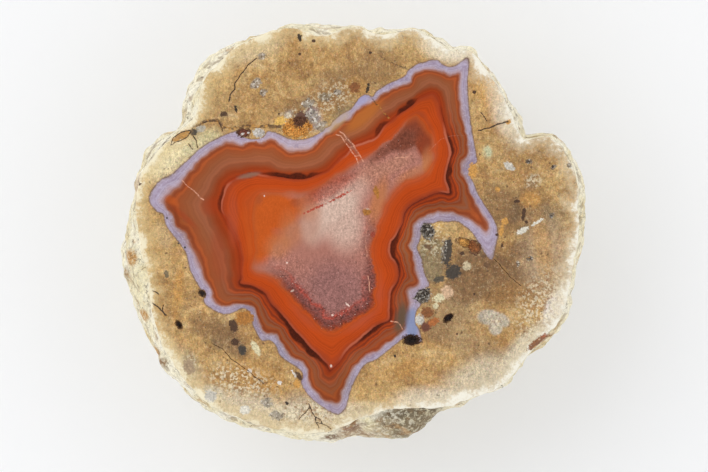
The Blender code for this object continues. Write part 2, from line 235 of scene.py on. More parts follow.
# What the rock, the agate, their marks and the rind are coloured with, and the painted shade and glints laid
# over them.
PIGMENTS = {
    "chalk": (238, 232, 216), "cream": (212, 194, 158), "straw": (198, 164, 108), "ochre": (190, 138, 68),
    "gold": (216, 158, 80), "rust": (172, 88, 38), "brown": (144, 108, 68), "umber": (116, 84, 56),
    "olive": (128, 112, 84), "grey": (150, 144, 136), "pearl": (186, 180, 184), "slate": (66, 60, 54),
    "bark": (78, 50, 32), "black": (34, 24, 20), "white": (240, 234, 226), "lilac": (164, 154, 176),
    "steel": (128, 142, 178), "milk": (208, 178, 162), "mauve": (151, 105, 99), "rose": (172, 116, 102),
    "blush": (178, 124, 104), "amber": (193, 88, 34), "peach": (187, 118, 78), "honey": (182, 120, 50),
    "plum": (124, 68, 54), "blood": (166, 74, 56), "painted_glint": (246, 214, 200), "ember": (164, 58, 26),
    "wine": (112, 60, 44), "sand": (196, 166, 122), "ivory": (234, 222, 180), "shell": (226, 188, 152),
    "ash": (186, 178, 162), "mist": (216, 210, 198), "bone": (212, 200, 174), "dusk": (122, 68, 52),
    "brick": (140, 64, 40), "salmon": (176, 84, 60), "saffron": (182, 106, 50), "iris": (166, 160, 196),
    "vug_shadow": (104, 68, 54), "taupe": (134, 104, 88), "clay": (152, 124, 90), "dust": (178, 152, 122),
    "moss": (126, 112, 84), "sun": (236, 188, 96), "russet": (140, 84, 42), "lime": (208, 206, 164),
    "pitch": (88, 80, 66), "rouge": (184, 72, 52), "maroon": (68, 27, 17), "pink_line": (192, 108, 82),
    "lilac_cloud": (188, 178, 202), "violet": (140, 122, 146), "bead": (208, 198, 216),
    "golden_cloud": (194, 146, 78), "pinkish_cloud": (174, 130, 98), "shadow": (130, 96, 60),
    "pale_grain": (226, 208, 172), "dark_grain": (104, 74, 44), "speck": (88, 62, 42),
    "bright_chip": (240, 228, 198), "rusty_chip": (150, 100, 52), "clump": (232, 212, 168),
    "seam": (112, 88, 60), "left_border": (222, 198, 146), "right_border": (222, 208, 178),
    "left_rim": (242, 232, 202), "right_rim": (246, 242, 228), "outline": (112, 82, 70),
    "healed": (228, 166, 138), "crack": (40, 27, 20), "vein": (84, 58, 38), "rind_stain": (184, 138, 80),
    "rind_rust": (148, 86, 42), "hollow_shade": (150, 118, 80), "crevice_shade": (132, 102, 66),
    "flake_edge": (88, 64, 42), "rind_speck": (58, 42, 32),
}

# Broad tones of the rock, by pigment: soft patches, each with its strength.
ROCK_TONES = {
    "straw": [
        (-31.0, 1.0, 3.6, 9.0, 0, 0.5), (-21.0, -19.0, 4.5, 3.5, -30, 0.25),
        (-21.5, 21.0, 4.0, 3.5, 45, 0.8), (8.0, 28.0, 6.0, 2.6, -8, 0.7), (4.0, -24.5, 4.5, 3.0, 0, 0.6),
        (13.6, 0.2, 3.2, 1.2, 0, 0.9),
    ],
    "ivory": [(-28.4, 11.4, 5.0, 3.6, 40, 1.0)],
    "cream": [
        (-33.2, -13.0, 2.8, 8.0, 12, 0.9), (-27.5, -21.5, 7.0, 4.5, -48, 0.9),
        (-15.0, 27.5, 5.5, 2.2, 20, 0.7), (1.4, -26.8, 2.8, 1.4, 16, 1.2),
    ],
    "chalk": [
        (-31.5, -18.5, 5.5, 2.2, -60, 0.8), (14.5, 27.5, 4.5, 2.2, -8, 0.9),
        (23.0, 18.0, 2.5, 5.0, 20, 0.6), (32.6, -12.0, 3.2, 6.0, -12, 1.0), (11.0, -25.5, 5.5, 2.5, 0, 0.6),
    ],
    "umber": [
        (-19.0, -15.4, 4.0, 1.8, -38, 0.9), (-8.5, 18.0, 3.0, 2.5, 0, 0.6), (25.0, 3.0, 5.0, 4.4, 0, 0.75),
        (20.5, -6.4, 7.0, 4.4, -20, 1.3), (16.6, -8.6, 2.8, 2.2, 0, 2.4), (25.0, -2.6, 2.0, 1.4, 20, 0.9),
        (-19.9, -16.4, 0.9, 1.4, -30, 0.9), (-17.4, -17.7, 2.2, 1.4, -30, 0.9),
    ],
    "ochre": [
        (-14.5, -21.6, 5.0, 2.2, -18, 0.6), (0.4, 21.9, 1.9, 1.5, 0, 1.2), (28.4, -2.0, 1.5, 5.4, 8, 0.9),
        (23.6, -9.0, 4.0, 1.8, 10, 0.4), (7.0, -20.6, 5.0, 1.6, 16, 0.4), (-26.2, -8.8, 0.9, 4.6, -6, 0.8),
    ],
    "bone": [
        (-16.0, -27.0, 10.0, 3.4, -10, 0.9), (-4.5, -27.6, 7.0, 3.0, 0, 0.9),
        (27.0, -17.6, 5.0, 3.0, 40, 1.6), (19.0, -22.0, 7.0, 3.4, 22, 0.9),
        (-21.0, -24.2, 1.7, 1.2, -20, 1.6),
    ],
    "dust": [
        (-8.0, -25.2, 2.4, 1.6, -20, 0.8), (29.0, -4.0, 4.4, 7.0, 0, 0.9), (17.5, -24.0, 2.4, 1.6, 24, 0.8),
    ],
    "brown": [
        (-20.0, 18.5, 4.0, 3.0, 20, 0.45), (-2.5, 21.5, 5.0, 3.5, 30, 0.9), (3.4, 24.4, 3.4, 4.6, -30, 0.8),
        (25.6, 12.0, 5.0, 3.5, 0, 0.5), (21.4, 4.6, 2.4, 3.4, 20, 1.0), (-22.8, -14.4, 2.6, 1.5, -50, 1.0),
        (12.8, -15.0, 2.4, 1.6, 0, 0.9),
    ],
    "gold": [(20.5, 21.5, 2.6, 5.0, 25, 0.45), (26.6, 4.8, 1.8, 1.3, 0, 0.9)],
    "slate": [(24.3, 3.0, 1.0, 2.0, -10, 0.5), (-20.4, -16.8, 1.3, 0.7, -48, 0.7)],
    "olive": [(30.0, 2.5, 3.0, 2.5, 0, 0.5), (-24.4, -19.8, 1.3, 2.0, 10, 0.8)],
    "clay": [
        (14.5, -12.0, 5.0, 5.0, 0, 0.8), (18.5, -17.4, 4.4, 2.4, -10, 0.7), (27.0, 7.6, 1.4, 1.0, 30, 0.9),
    ],
    "white": [(30.4, -12.4, 1.8, 3.2, -10, 2.4)],
    "moss": [(11.8, -4.0, 2.0, 3.6, 0, 2.4), (-1.6, 17.6, 2.6, 1.2, 38, 0.7)],
    "sun": [(12.6, 0.9, 1.0, 0.6, 0, 0.5)],
    "sand": [(-28.4, -0.6, 1.2, 2.2, 20, 0.9)],
    "ash": [
        (20.4, -12.8, 1.6, 1.1, -6, 5.0), (22.2, -13.2, 1.3, 0.9, -30, 5.0),
        (21.4, -14.4, 0.9, 1.0, -20, 5.0),
    ],
    "mist": [(23.2, 18.7, 1.5, 1.2, 50, 4.0), (-9.8, 17.2, 0.7, 1.2, -25, 0.9)],
    "lime": [(20.2, 12.0, 0.9, 1.2, 10, 0.7), (-22.4, 13.4, 3.6, 2.0, 30, 0.7)],
    "lilac": [(-6.0, 17.0, 1.4, 2.0, 0, 0.7)],
}

# Broad tones inside the star, most of them in the quartz.
STAR_TONES = {
    "amber": [
        (-13.4, 2.2, 3.6, 4.4, 0, 1.0), (-14.2, -2.2, 2.0, 3.4, 0, 1.0), (-10.8, 3.6, 3.4, 2.6, 0, 1.0),
        (-27.2, 4.7, 1.3, 0.7, -30, 0.6),
    ],
    "peach": [
        (-9.4, 0.4, 1.8, 3.2, 10, 0.6), (-11.4, -2.2, 2.2, 2.0, 0, 0.7), (-6.8, 3.6, 1.8, 2.2, 20, 0.7),
        (11.2, 10.8, 0.9, 2.2, 0, 1.2), (3.8, 4.6, 1.3, 4.2, -16, 0.9), (8.8, 8.6, 3.2, 1.0, 26, 0.6),
    ],
    "blush": [
        (-6.4, 1.4, 1.8, 4.0, -10, 0.8), (2.6, 8.6, 2.4, 2.0, 40, 0.7), (6.0, 10.0, 3.4, 1.3, 24, 0.9),
    ],
    "milk": [
        (-5.8, 0.8, 2.2, 3.2, 0, 0.5), (-1.8, 2.0, 3.6, 5.4, 16, 0.8), (-3.4, 3.6, 2.2, 2.2, 0, 0.4),
        (-0.2, 5.8, 3.4, 2.2, 42, 0.5),
    ],
    "plum": [(-14.1, 4.9, 0.7, 1.0, 0, 0.5), (-8.6, 4.4, 0.9, 0.7, 0, 0.5)],
    "rose": [(-12.8, -5.2, 2.4, 1.0, 8, 1.0), (-8.0, -4.6, 3.4, 2.2, -30, 0.8)],
    "salmon": [(-4.0, 6.2, 5.0, 1.6, 28, 1.0), (-18.0, 2.0, 0.9, 4.6, 0, 0.45)],
    "mauve": [(-2.5, -9.0, 6.4, 5.6, 0, 1.0)],
    "dusk": [(4.8, 12.3, 3.4, 1.0, 38, 0.8), (8.2, 14.2, 2.9, 1.8, 46, 1.4)],
    "brick": [(10.7, 14.0, 1.4, 2.8, 0, 1.8), (9.4, 16.6, 1.8, 1.3, 40, 1.4)],
    "ember": [
        (-21.4, 3.8, 1.5, 1.6, 0, 0.5), (-25.2, 2.2, 2.6, 0.5, -42, 0.5), (-20.2, -3.4, 1.3, 4.8, 4, 0.4),
        (3.6, -16.8, 3.6, 1.0, 40, 0.3),
    ],
    "pitch": [(7.2, -12.9, 1.1, 2.8, -12, 1.0)],
    "steel": [(8.9, -13.8, 1.0, 2.6, 0, 1.5)],
    "taupe": [(-15.6, 8.5, 1.9, 0.42, 12, 1.2), (-0.2, 12.9, 2.6, 0.34, -56, 0.7)],
    "sand": [(-2.4, 16.5, 2.6, 0.9, 42, 0.75)],
    "iris": [(-1.9, 17.0, 1.0, 0.5, 42, 0.5), (1.4, 19.8, 1.2, 0.8, 38, 1.0)],
    "saffron": [(1.6, 17.4, 3.8, 1.0, 41, 1.2)],
}

# Stains of the rind, seen from above, and those of its uppermost edge.
RIND_TONES = {
    "olive": [(8.4, -28.4, 5.6, 3.0, 8, 1.6)],
    "pitch": [(10.0, -26.6, 4.6, 0.8, 14, 2.0)],
    "cream": [(4.6, -29.4, 1.8, 1.6, 0, 1.2)],
    "dust": [(0.6, -30.4, 3.4, 1.4, 0, 1.2)],
    "umber": [
        (-3.2, -31.0, 1.1, 0.5, 0, 3.0), (1.8, -28.8, 0.5, 0.4, 0, 3.0), (-31.4, -15.0, 0.6, 0.8, 20, 1.4),
    ],
    "wine": [(-0.4, -29.4, 1.5, 0.6, 15, 1.4)],
    "bark": [(0.0, -31.0, 0.9, 0.3, 15, 2.0), (5.4, -28.9, 0.4, 0.3, 0, 2.0)],
    "brown": [(4.0, -28.2, 0.6, 0.5, 0, 2.6), (-28.6, -19.6, 0.7, 0.8, 30, 1.4)],
    "ivory": [(2.2, -29.0, 0.9, 1.2, 0, 2.0), (-32.6, -8.0, 1.6, 3.4, 0, 0.8)],
    "ochre": [
        (-33.6, -3.4, 0.7, 0.9, 0, 1.6), (-32.3, -12.8, 0.7, 0.9, 20, 1.6),
        (-29.6, -18.0, 0.5, 0.9, 30, 1.8), (-33.2, -4.0, 0.9, 1.2, 0, 1.6),
        (-31.6, -12.6, 0.8, 1.0, 20, 1.6),
    ],
    "clay": [(-34.2, -6.6, 0.5, 1.4, 10, 1.2)],
    "rose": [(-32.0, 6.6, 0.9, 2.2, 0, 0.5)],
}
RIM_TONES = {
    "brown": [(-0.4, -28.6, 1.6, 0.6, 10, 1.4)],
    "russet": [(28.9, -16.6, 2.0, 0.8, 38, 4.0)],
}

# How far stretches of the star differ from its usual bands: patches that multiply red, green and blue.
STAR_TINTS = [
    (-9.5, 12.0, 10.0, 4.6, 4, 1.08, 1.04, 1.0), (-8.6, 13.0, 3.2, 1.2, 6, 1.1, 1.12, 1.08),
    (11.0, 20.6, 4.6, 2.6, 20, 0.94, 0.96, 0.94), (11.6, 4.4, 4.6, 1.3, 10, 0.9, 0.86, 0.84),
    (12.5, 3.0, 4.0, 1.0, 0, 1.06, 1.04, 1.02), (7.6, -0.5, 1.6, 4.4, 0, 1.12, 1.16, 1.1),
    (-2.6, -23.0, 3.6, 3.0, 0, 0.92, 0.92, 0.86), (1.8, 16.8, 3.6, 1.5, 40, 1.18, 1.18, 0.92),
    (8.4, -14.6, 1.4, 3.0, 0, 0.86, 0.96, 1.12), (-11.4, -17.6, 2.6, 1.4, -50, 0.94, 1.02, 1.06),
]

# Where fine lines take the broad bands' place, where the dark line shows and how wide it is, where the
# pinkish line follows it, where the quartz is grainy or crusted at its edge, and where the rock is crumbly.
COVERS = {
    "lined": [
        (-12.4, -13.4, 10.0, 4.0, -46, 1.0), (-2.6, -21.6, 4.4, 5.6, 0, 0.55),
        (-26.0, 0.8, 1.5, 4.8, 28, 0.9), (3.4, -15.0, 5.6, 3.0, 38, 1.0), (7.4, -4.0, 3.4, 8.4, 0, 1.0),
        (8.6, 2.6, 3.6, 3.4, 40, 1.0), (14.0, 4.4, 5.0, 2.8, 0, 1.0), (16.0, 11.0, 3.0, 9.0, 0, 1.0),
    ],
    "dark": [
        (-9.2, 8.4, 5.2, 2.6, 0, 0.95), (-19.8, 5.0, 1.8, 2.6, 0, 0.75), (8.0, 18.8, 2.2, 2.2, 35, 0.95),
        (4.2, 15.6, 1.8, 1.3, 45, 0.75), (13.4, 17.4, 1.6, 2.4, 0, 0.4), (14.8, 13.2, 1.8, 2.0, 0, 0.8),
        (14.3, 7.9, 2.0, 3.4, 0, 0.9), (6.2, -2.8, 2.2, 4.4, 0, 0.85), (6.0, -10.4, 1.8, 4.0, 0, 0.55),
        (-7.8, -16.0, 7.2, 2.2, -48, 1.0), (-15.2, -8.4, 3.4, 1.6, -18, 0.7),
        (2.6, -14.8, 3.0, 1.5, 35, 0.9),
    ],
    "pink": [
        (-19.2, 5.6, 1.2, 3.0, -10, 0.8), (-15.0, 8.6, 3.0, 1.2, 10, 0.7), (1.6, 13.2, 4.0, 1.4, 40, 1.0),
        (14.2, 13.2, 1.2, 3.0, 10, 1.0), (14.0, 8.0, 1.2, 3.4, 0, 0.6), (5.6, -1.0, 1.4, 5.0, 0, 0.7),
        (5.4, -10.0, 1.2, 3.6, 0, 0.5), (-7.0, -16.4, 6.0, 1.2, -48, 0.35), (0.6, -16.6, 3.6, 1.2, 42, 0.8),
    ],
    "grainy": [
        (-2.5, -9.5, 7.4, 6.4, 0, 1.0), (-9.6, -5.2, 3.8, 2.4, -25, 1.0), (6.4, 12.2, 5.0, 2.6, 42, 1.0),
        (6.4, 9.4, 4.4, 2.4, 30, 1.0), (2.2, 8.6, 3.4, 2.4, 40, 1.0), (-2.6, 6.2, 4.4, 1.8, 30, 1.0),
        (1.4, -6.4, 2.4, 4.4, 0, 1.0), (0.0, 1.6, 4.6, 5.2, 30, 0.7),
    ],
    "crust": [
        (-7.0, -11.0, 7.6, 3.0, -46, 1.0), (0.0, -12.6, 4.4, 2.4, 30, 1.0), (2.8, -8.0, 1.6, 4.0, 0, 0.9),
        (2.6, -1.4, 1.3, 4.0, 0, 0.5), (-3.4, 6.8, 5.0, 2.2, 30, 0.3),
    ],
    "crumbly": [
        (-16.8, -22.4, 6.0, 2.6, -14, 1.0), (-6.0, -27.4, 7.0, 2.6, 0, 1.0),
        (-27.0, -20.6, 7.0, 2.0, -50, 0.6), (28.0, -11.0, 3.6, 6.4, -24, 0.9),
        (29.0, -15.2, 3.6, 2.0, 36, 1.0), (21.4, -13.4, 2.0, 1.5, 0, 0.55), (-3.6, 20.0, 4.6, 2.4, 30, 0.8),
        (-8.4, 16.6, 3.4, 2.0, 0, 1.0), (12.0, -1.0, 2.4, 3.6, 0, 0.7), (27.0, 7.6, 1.6, 1.2, 30, 0.8),
        (-24.4, -19.8, 1.4, 2.0, 10, 0.7),
    ],
}

# Small stains, inclusions and chips with a clear edge, and a few painted glints and one painted shadow:
# patches, each with its pigment.
SPOTS = [
    (-19.4, 17.7, 0.5, 0.38, 20, "bark"), (-17.6, 18.5, 0.18, 0.55, 15, "black"),
    (-8.0, 29.1, 0.25, 0.6, 10, "black"), (-5.9, 28.7, 0.25, 0.25, 0, "bark"),
    (-8.0, 26.7, 0.22, 0.22, 0, "bark"), (2.2, 21.6, 0.2, 0.8, -10, "black"),
    (18.2, 21.0, 0.3, 0.25, 0, "bark"), (2.6, 26.9, 0.22, 0.22, 0, "bark"),
    (-11.1, 17.7, 0.12, 0.16, 0, "black"), (25.7, 3.3, 0.3, 0.25, 0, "bark"),
    (26.0, 1.5, 0.22, 0.25, 0, "bark"), (29.7, 2.4, 0.25, 0.25, 0, "black"),
    (26.6, -3.9, 0.3, 0.25, 0, "bark"), (30.0, 9.8, 0.22, 0.22, 0, "bark"),
    (26.3, 10.5, 0.3, 0.25, 0, "bark"), (-9.9, -25.7, 0.3, 0.24, -40, "black"),
    (16.4, -3.2, 0.35, 0.28, 0, "bark"), (22.4, -1.9, 0.16, 0.45, -20, "bark"),
    (20.1, -5.0, 0.5, 0.35, 0, "umber"), (18.2, -9.3, 0.18, 0.22, 0, "bark"),
    (15.6, -15.3, 0.16, 0.16, 0, "bark"), (6.3, -18.6, 0.18, 0.2, 0, "black"),
    (21.6, -0.4, 0.25, 0.2, 0, "bark"), (-26.2, -1.7, 0.15, 0.15, 0, "slate"),
    (-25.2, -2.3, 0.17, 0.17, 0, "slate"), (-27.9, 2.1, 0.15, 0.15, 0, "slate"),
    (-32.0, 7.2, 0.3, 0.15, 0, "bark"), (-28.0, -6.3, 0.35, 0.6, 10, "olive"),
    (-17.9, -14.1, 0.6, 1.0, 15, "bark"), (-16.3, -12.9, 1.25, 1.0, 0, "honey"),
    (0.3, 21.7, 0.8, 0.75, 0, "russet"), (18.0, 9.2, 0.65, 1.1, 0, "gold"),
    (21.7, 6.4, 0.35, 0.35, 0, "gold"), (22.8, 1.6, 0.5, 0.5, 0, "gold"),
    (22.3, 0.2, 0.3, 0.9, -10, "gold"), (23.3, 16.5, 0.45, 0.3, 20, "gold"),
    (20.3, 12.1, 0.45, 0.75, 10, "lime"), (23.4, 9.9, 0.9, 0.5, -35, "mist"),
    (25.4, 0.2, 1.0, 0.4, 25, "chalk"), (27.7, 1.5, 1.1, 0.2, 32, "chalk"),
    (25.6, 2.6, 0.25, 1.2, -10, "bark"), (14.1, -9.0, 0.85, 0.95, 20, "shell"),
    (12.9, -9.9, 0.9, 0.6, 15, "ivory"), (12.4, -11.1, 0.4, 0.45, 30, "ivory"),
    (11.1, -12.1, 0.95, 0.75, 0, "russet"), (12.0, -13.5, 0.95, 0.5, 30, "saffron"),
    (10.9, -14.2, 0.8, 0.7, 20, "wine"), (10.0, -13.2, 0.6, 0.75, 0, "mist"),
    (17.1, -5.1, 0.6, 0.65, 0, "cream"), (-14.6, -17.4, 0.45, 1.15, 30, "ivory"),
    (-21.4, -24.6, 0.9, 0.9, 10, "mist"), (-24.6, -20.2, 0.8, 1.1, 10, "dust"),
    (-17.7, -16.5, 0.6, 0.5, 10, "bark"), (-15.5, -20.8, 0.35, 0.25, 0, "white"),
    (-11.0, -22.6, 0.3, 0.3, 0, "white"), (-16.2, -26.7, 0.8, 0.6, 0, "chalk"),
    (-8.9, -21.2, 0.14, 0.7, 30, "white"), (-8.1, -21.6, 0.35, 0.75, 30, "bark"),
    # The dark brown spot at (-7.9, 16.9) is painted shadow in the crumbly vug's deeper hollow.
    (-10.9, 16.7, 0.85, 0.6, 20, "sun"), (-7.9, 16.9, 0.95, 1.2, -30, "vug_shadow"),
    (-14.2, 14.9, 0.85, 0.65, 0, "mist"), (19.6, -3.6, 0.4, 0.3, 0, "umber"),
    (14.2, -3.0, 0.6, 2.2, -6, "slate"), (15.0, -6.0, 1.2, 1.05, 30, "slate"),
    (24.6, 4.6, 0.45, 0.25, 0, "bark"), (12.9, -7.1, 0.85, 0.45, 10, "pitch"),
    (11.2, -2.2, 0.6, 0.35, -20, "umber"), (27.7, -16.6, 1.8, 0.55, 38, "russet"),
    (28.6, -15.7, 0.6, 0.28, 38, "rust"), (27.3, -17.2, 0.5, 0.24, 38, "gold"),
    (28.0, -16.1, 0.34, 0.22, 38, "shell"), (-25.8, 14.4, 1.45, 0.5, 28, "ochre"),
    (-23.9, 15.0, 0.55, 0.5, 20, "slate"), (-22.8, 15.5, 0.7, 0.5, 20, "ash"),
    # The white spots at (-16.6, 14.7) and (-15.7, 14.9) are painted glints in the rim hollow.
    (-8.4, -22.8, 0.5, 0.6, 0, "gold"), (-16.6, 14.7, 0.32, 0.15, 20, "white"),
    (-15.7, 14.9, 0.18, 0.14, 0, "white"), (-5.6, 3.6, 2.2, 0.15, 24, "rouge"),
    (-1.8, 5.4, 1.9, 0.15, 28, "rouge"), (-16.6, -17.7, 0.55, 0.8, 10, "slate"),
    # The glint-coloured spots in the next three lines are painted glints.
    (-3.3, -20.1, 0.16, 0.22, 0, "painted_glint"), (-3.1, -12.5, 0.16, 0.16, 0, "painted_glint"),
    (-9.9, -4.6, 0.14, 0.14, 0, "painted_glint"), (-13.3, 5.4, 0.1, 0.14, 0, "painted_glint"),
    (-9.1, -8.8, 0.3, 0.14, 30, "milk"), (-0.8, -10.9, 0.4, 0.12, -45, "painted_glint"),
    (2.2, 3.4, 0.3, 0.16, 0, "milk"), (3.0, -0.4, 0.3, 0.45, 0, "blood"),
    (3.5, 6.0, 0.35, 0.9, 10, "honey"), (2.1, 3.0, 0.6, 0.5, 0, "honey"),
]

# Pockets of small crystals in the rock: patches, each with the pigment between the crystals.
POCKETS = [
    (-14.6, 22.3, 0.9, 0.7, 40, "grey"), (-13.4, 21.0, 0.6, 0.6, 0, "grey"),
    (-13.7, 26.4, 0.5, 0.5, 0, "grey"), (-6.7, 19.3, 0.9, 0.7, 20, "grey"),
    (-4.2, 20.3, 0.8, 0.7, 0, "moss"), (-2.4, 20.9, 0.6, 0.6, 0, "grey"),
    (-6.0, 17.4, 0.9, 1.3, 20, "grey"), (-4.8, 15.9, 1.0, 0.8, 20, "grey"),
    (13.6, -2.9, 0.4, 1.8, -6, "slate"), (-14.0, 14.8, 0.7, 0.6, 0, "pearl"),
    (26.4, 10.6, 0.5, 0.4, 0, "slate"), (30.2, 9.7, 0.5, 0.35, 20, "slate"),
    (32.4, 10.0, 0.4, 0.4, 0, "slate"), (29.8, 2.5, 0.4, 0.4, 0, "slate"),
    (26.6, -4.0, 0.5, 0.4, 0, "slate"), (24.8, -4.7, 0.4, 0.4, 0, "slate"),
    (-12.9, -25.6, 0.9, 0.7, -30, "grey"), (-11.5, -27.5, 1.0, 0.7, 0, "grey"),
    (11.2, 0.2, 1.0, 1.3, 30, "black"), (10.5, -9.6, 1.3, 1.1, 20, "black"),
]

# Open pits in the cut face: patches, each with its depth, its floor's pigment and its rim's.
PITS = {
    "crumbly_vug": (-8.3, 15.7, 2.3, 1.5, 10, 1.5, "gold", "ochre"),
    "rim_hollow": (-16.4, 14.9, 1.0, 0.65, 5, 0.6, "wine", "bark"),
    "black_vug": (8.8, -16.2, 1.35, 0.85, 0, 1.2, "black", "bark"),
    "upper_bubble": (11.2, 0.1, 0.95, 1.15, 30, 0.8, "black", "slate"),
    "lower_bubble": (10.5, -9.6, 1.2, 1.0, 20, 0.8, "black", "slate"),
    "rusty_hollow": (18.1, -2.2, 1.3, 0.9, -40, 0.6, "russet", "bark"),
    "rusty_top": (16.7, -1.6, 1.2, 0.7, -20, 0.5, "ochre", "bark"),
    "oblong_hole": (-26.1, -13.9, 0.75, 0.45, -55, 0.9, "black", "umber"),
    "slanting_hole": (14.3, -12.9, 0.95, 0.5, 32, 0.9, "black", "bark"),
    "left_hollow": (-22.6, -9.2, 0.75, 0.5, -35, 0.6, "black", "umber"),
}

# Open cracks in the rock, each a line with its half width at the start and at the end.
CRACKS = {
    "top_left_crack": ([
        (-14.4, 26.1), (-15.6, 25.2), (-16.5, 24.0), (-17.3, 23.0), (-17.7, 22.2), (-17.7, 21.3),
        (-18.5, 20.6), (-18.6, 19.7),
    ], 0.05, 0.09),
    "upper_vein_knee": ([
        (-22.6, 16.3), (-21.5, 16.7), (-20.1, 16.5), (-19.8, 15.8), (-19.5, 15.2),
    ], 0.08, 0.06),
    "upper_left_nick": ([(-24.6, 13.2), (-24.1, 12.4)], 0.06, 0.04),
    "flake_top": ([(-27.4, 13.1), (-26.8, 14.3), (-25.7, 15.0), (-24.4, 15.2)], 0.03, 0.07),
    "flake_bottom": ([(-27.4, 13.1), (-26.0, 13.7), (-24.8, 14.3), (-24.3, 15.1)], 0.03, 0.05),
    "flake_drop": ([(-24.0, 14.4), (-23.5, 13.6), (-23.3, 12.7)], 0.05, 0.04),
    "right_arm_crack": ([(18.8, 15.2), (20.3, 15.6), (21.8, 16.2), (23.3, 16.5)], 0.07, 0.1),
    "right_arm_nick": ([(19.2, 17.9), (20.1, 16.7)], 0.05, 0.04),
    "right_crack": ([(21.2, -4.0), (21.8, -4.7), (22.8, -5.9), (23.9, -7.0), (25.2, -8.1)], 0.03, 0.02),
    "lower_left_crack": ([
        (-21.2, -16.6), (-19.6, -17.6), (-18.2, -19.1), (-16.6, -20.2), (-15.0, -21.4), (-13.4, -22.8),
    ], 0.02, 0.03),
    "left_branch": ([(-30.0, -8.8), (-29.7, -8.9), (-29.2, -9.3)], 0.05, 0.07),
    "lower_left_branch": ([(-30.1, -10.6), (-29.2, -11.3), (-28.1, -12.5)], 0.06, 0.11),
    "lower_left_fork": ([(-28.5, -11.0), (-28.6, -11.9)], 0.05, 0.07),
    "network_spine": ([
        (-6.6, -25.7), (-6.2, -26.8), (-5.7, -27.7), (-5.5, -28.5), (-5.1, -29.5),
    ], 0.06, 0.03),
    "network_left": ([(-6.5, -26.3), (-7.1, -27.1), (-7.5, -27.3), (-8.2, -28.2)], 0.04, 0.02),
    "network_right": ([
        (-5.7, -27.7), (-4.9, -28.2), (-4.6, -28.8), (-3.9, -29.0), (-3.2, -29.6),
    ], 0.05, 0.02),
    "network_rung": ([(-5.4, -28.6), (-4.6, -28.8)], 0.03, 0.02),
}

# Iron-stained veins in the rock, drawn like the cracks but not open.
VEINS = {
    "upper_vein_rise": ([
        (-24.0, 15.6), (-22.9, 16.3), (-21.6, 16.8), (-20.4, 16.7), (-19.6, 16.1),
    ], 0.14, 0.18),
    "upper_vein_end": ([
        (-19.8, 15.7), (-18.2, 15.6), (-16.2, 15.9), (-14.3, 15.8), (-12.5, 15.9), (-11.0, 15.8),
    ], 0.15, 0.22),
    "top_scratch": ([(2.7, 20.1), (3.6, 19.1), (4.6, 18.0), (5.6, 16.9)], 0.06, 0.07),
    "red_streak": ([(4.0, 26.4), (5.4, 25.6), (6.8, 25.0), (8.0, 24.6)], 0.06, 0.12),
    "right_swirl": ([(22.4, -1.6), (24.4, -3.2), (26.8, -4.0), (29.4, -3.4)], 0.03, 0.03),
    "lower_swirl": ([(19.2, -7.4), (21.8, -9.2), (25.0, -9.6), (28.6, -8.6)], 0.03, 0.02),
    "left_swirl": ([(-27.8, -3.6), (-26.2, -6.4), (-24.6, -10.6), (-22.0, -14.4)], 0.03, 0.04),
    "bottom_swirl": ([(-22.4, -16.4), (-18.4, -19.6), (-13.6, -22.4), (-9.8, -23.8)], 0.05, 0.03),
}

# Healed fractures and scratches that show pale across the bands.
PALE_LINES = {
    "fracture_right_edge": ([
        (-2.1, 15.1), (-1.5, 14.7), (-0.9, 14.1), (-0.3, 13.4), (0.3, 12.7), (0.9, 11.7), (1.5, 10.6),
    ], 0.07, 0.05),
    "fracture_left_edge": ([
        (-2.5, 14.7), (-1.9, 14.5), (-1.4, 13.9), (-0.9, 13.1), (-0.3, 12.3), (0.2, 11.5), (0.8, 10.2),
    ], 0.05, 0.06),
    "fracture_upper_rung": ([(-1.3, 13.7), (-0.8, 14.0)], 0.03, 0.03),
    "fracture_middle_rung": ([(-0.5, 12.6), (0.2, 12.9)], 0.03, 0.03),
    "fracture_lower_rung": ([(0.3, 11.3), (1.1, 11.5)], 0.03, 0.03),
    "left_scratch": ([(-25.7, 7.7), (-24.8, 6.9), (-23.9, 6.2), (-23.1, 5.4), (-22.4, 4.8)], 0.03, 0.07),
    "right_line": ([
        (11.4, 12.1), (12.3, 13.0), (13.1, 13.9), (14.3, 14.3), (15.6, 14.5), (16.9, 14.5),
    ], -0.02, -0.03),
    "quartz_streak_upper": ([(2.0, 0.4), (1.9, -1.4), (2.1, -3.8)], 0.0, 0.02),
    "quartz_streak_lower": ([(2.3, -6.6), (2.4, -7.8), (2.5, -9.0)], 0.03, 0.06),
    "slate_rim": ([(5.7, -13.4), (6.5, -13.5), (7.1, -14.0), (7.4, -14.6)], 0.07, 0.03),
    "quartz_streak": ([(6.3, 11.1), (7.4, 11.2), (8.6, 11.4)], 0.04, 0.03),
}

# How far cracks, veins and pale lines waver from their routes.
WAVER_SIZE, WAVER = 0.9, 0.14


def smooth(value):
    """0 below 0, 1 above 1 and an even S between them."""
    value = np.clip(value, 0.0, 1.0)
    return value * value * (3.0 - 2.0 * value)


def linear(colour):
    """A pigment's name or an sRGB colour from 0 to 255, as the light that it stands for, from 0 to 1."""
    share = np.array(PIGMENTS.get(colour, colour)) / 255.0
    return tuple(np.where(share <= 0.04045, share / 12.92, ((share + 0.055) / 1.055) ** 2.4).tolist())


def scaled(points, size, seed):
    """The points as vectors in units of this size. Each seed has a place of its own."""
    missing = [0.0] * (3 - points.shape[1])
    return [Vector((*point, *missing)) / size + Vector((seed, 0.0, 0.0)) for point in points]


def noise_of(points, size, seed=0.0):
    """Smooth noise from -1 to 1 at each point, with lumps of about this size."""
    return np.array([noise.noise(spot) for spot in scaled(points, size, seed)])


def cells_of(points, size, seed=0.0):
    """How far each point is from the nearest of some scattered middles, as a share of this size."""
    return np.array([noise.voronoi(spot)[0][0] for spot in scaled(points, size, seed)])


def lumps_of(points, *layers):
    """Layers of noise on top of each other. Each is a height, a size and a seed."""
    return sum(height * noise_of(points, size, seed) for height, size, seed in layers)


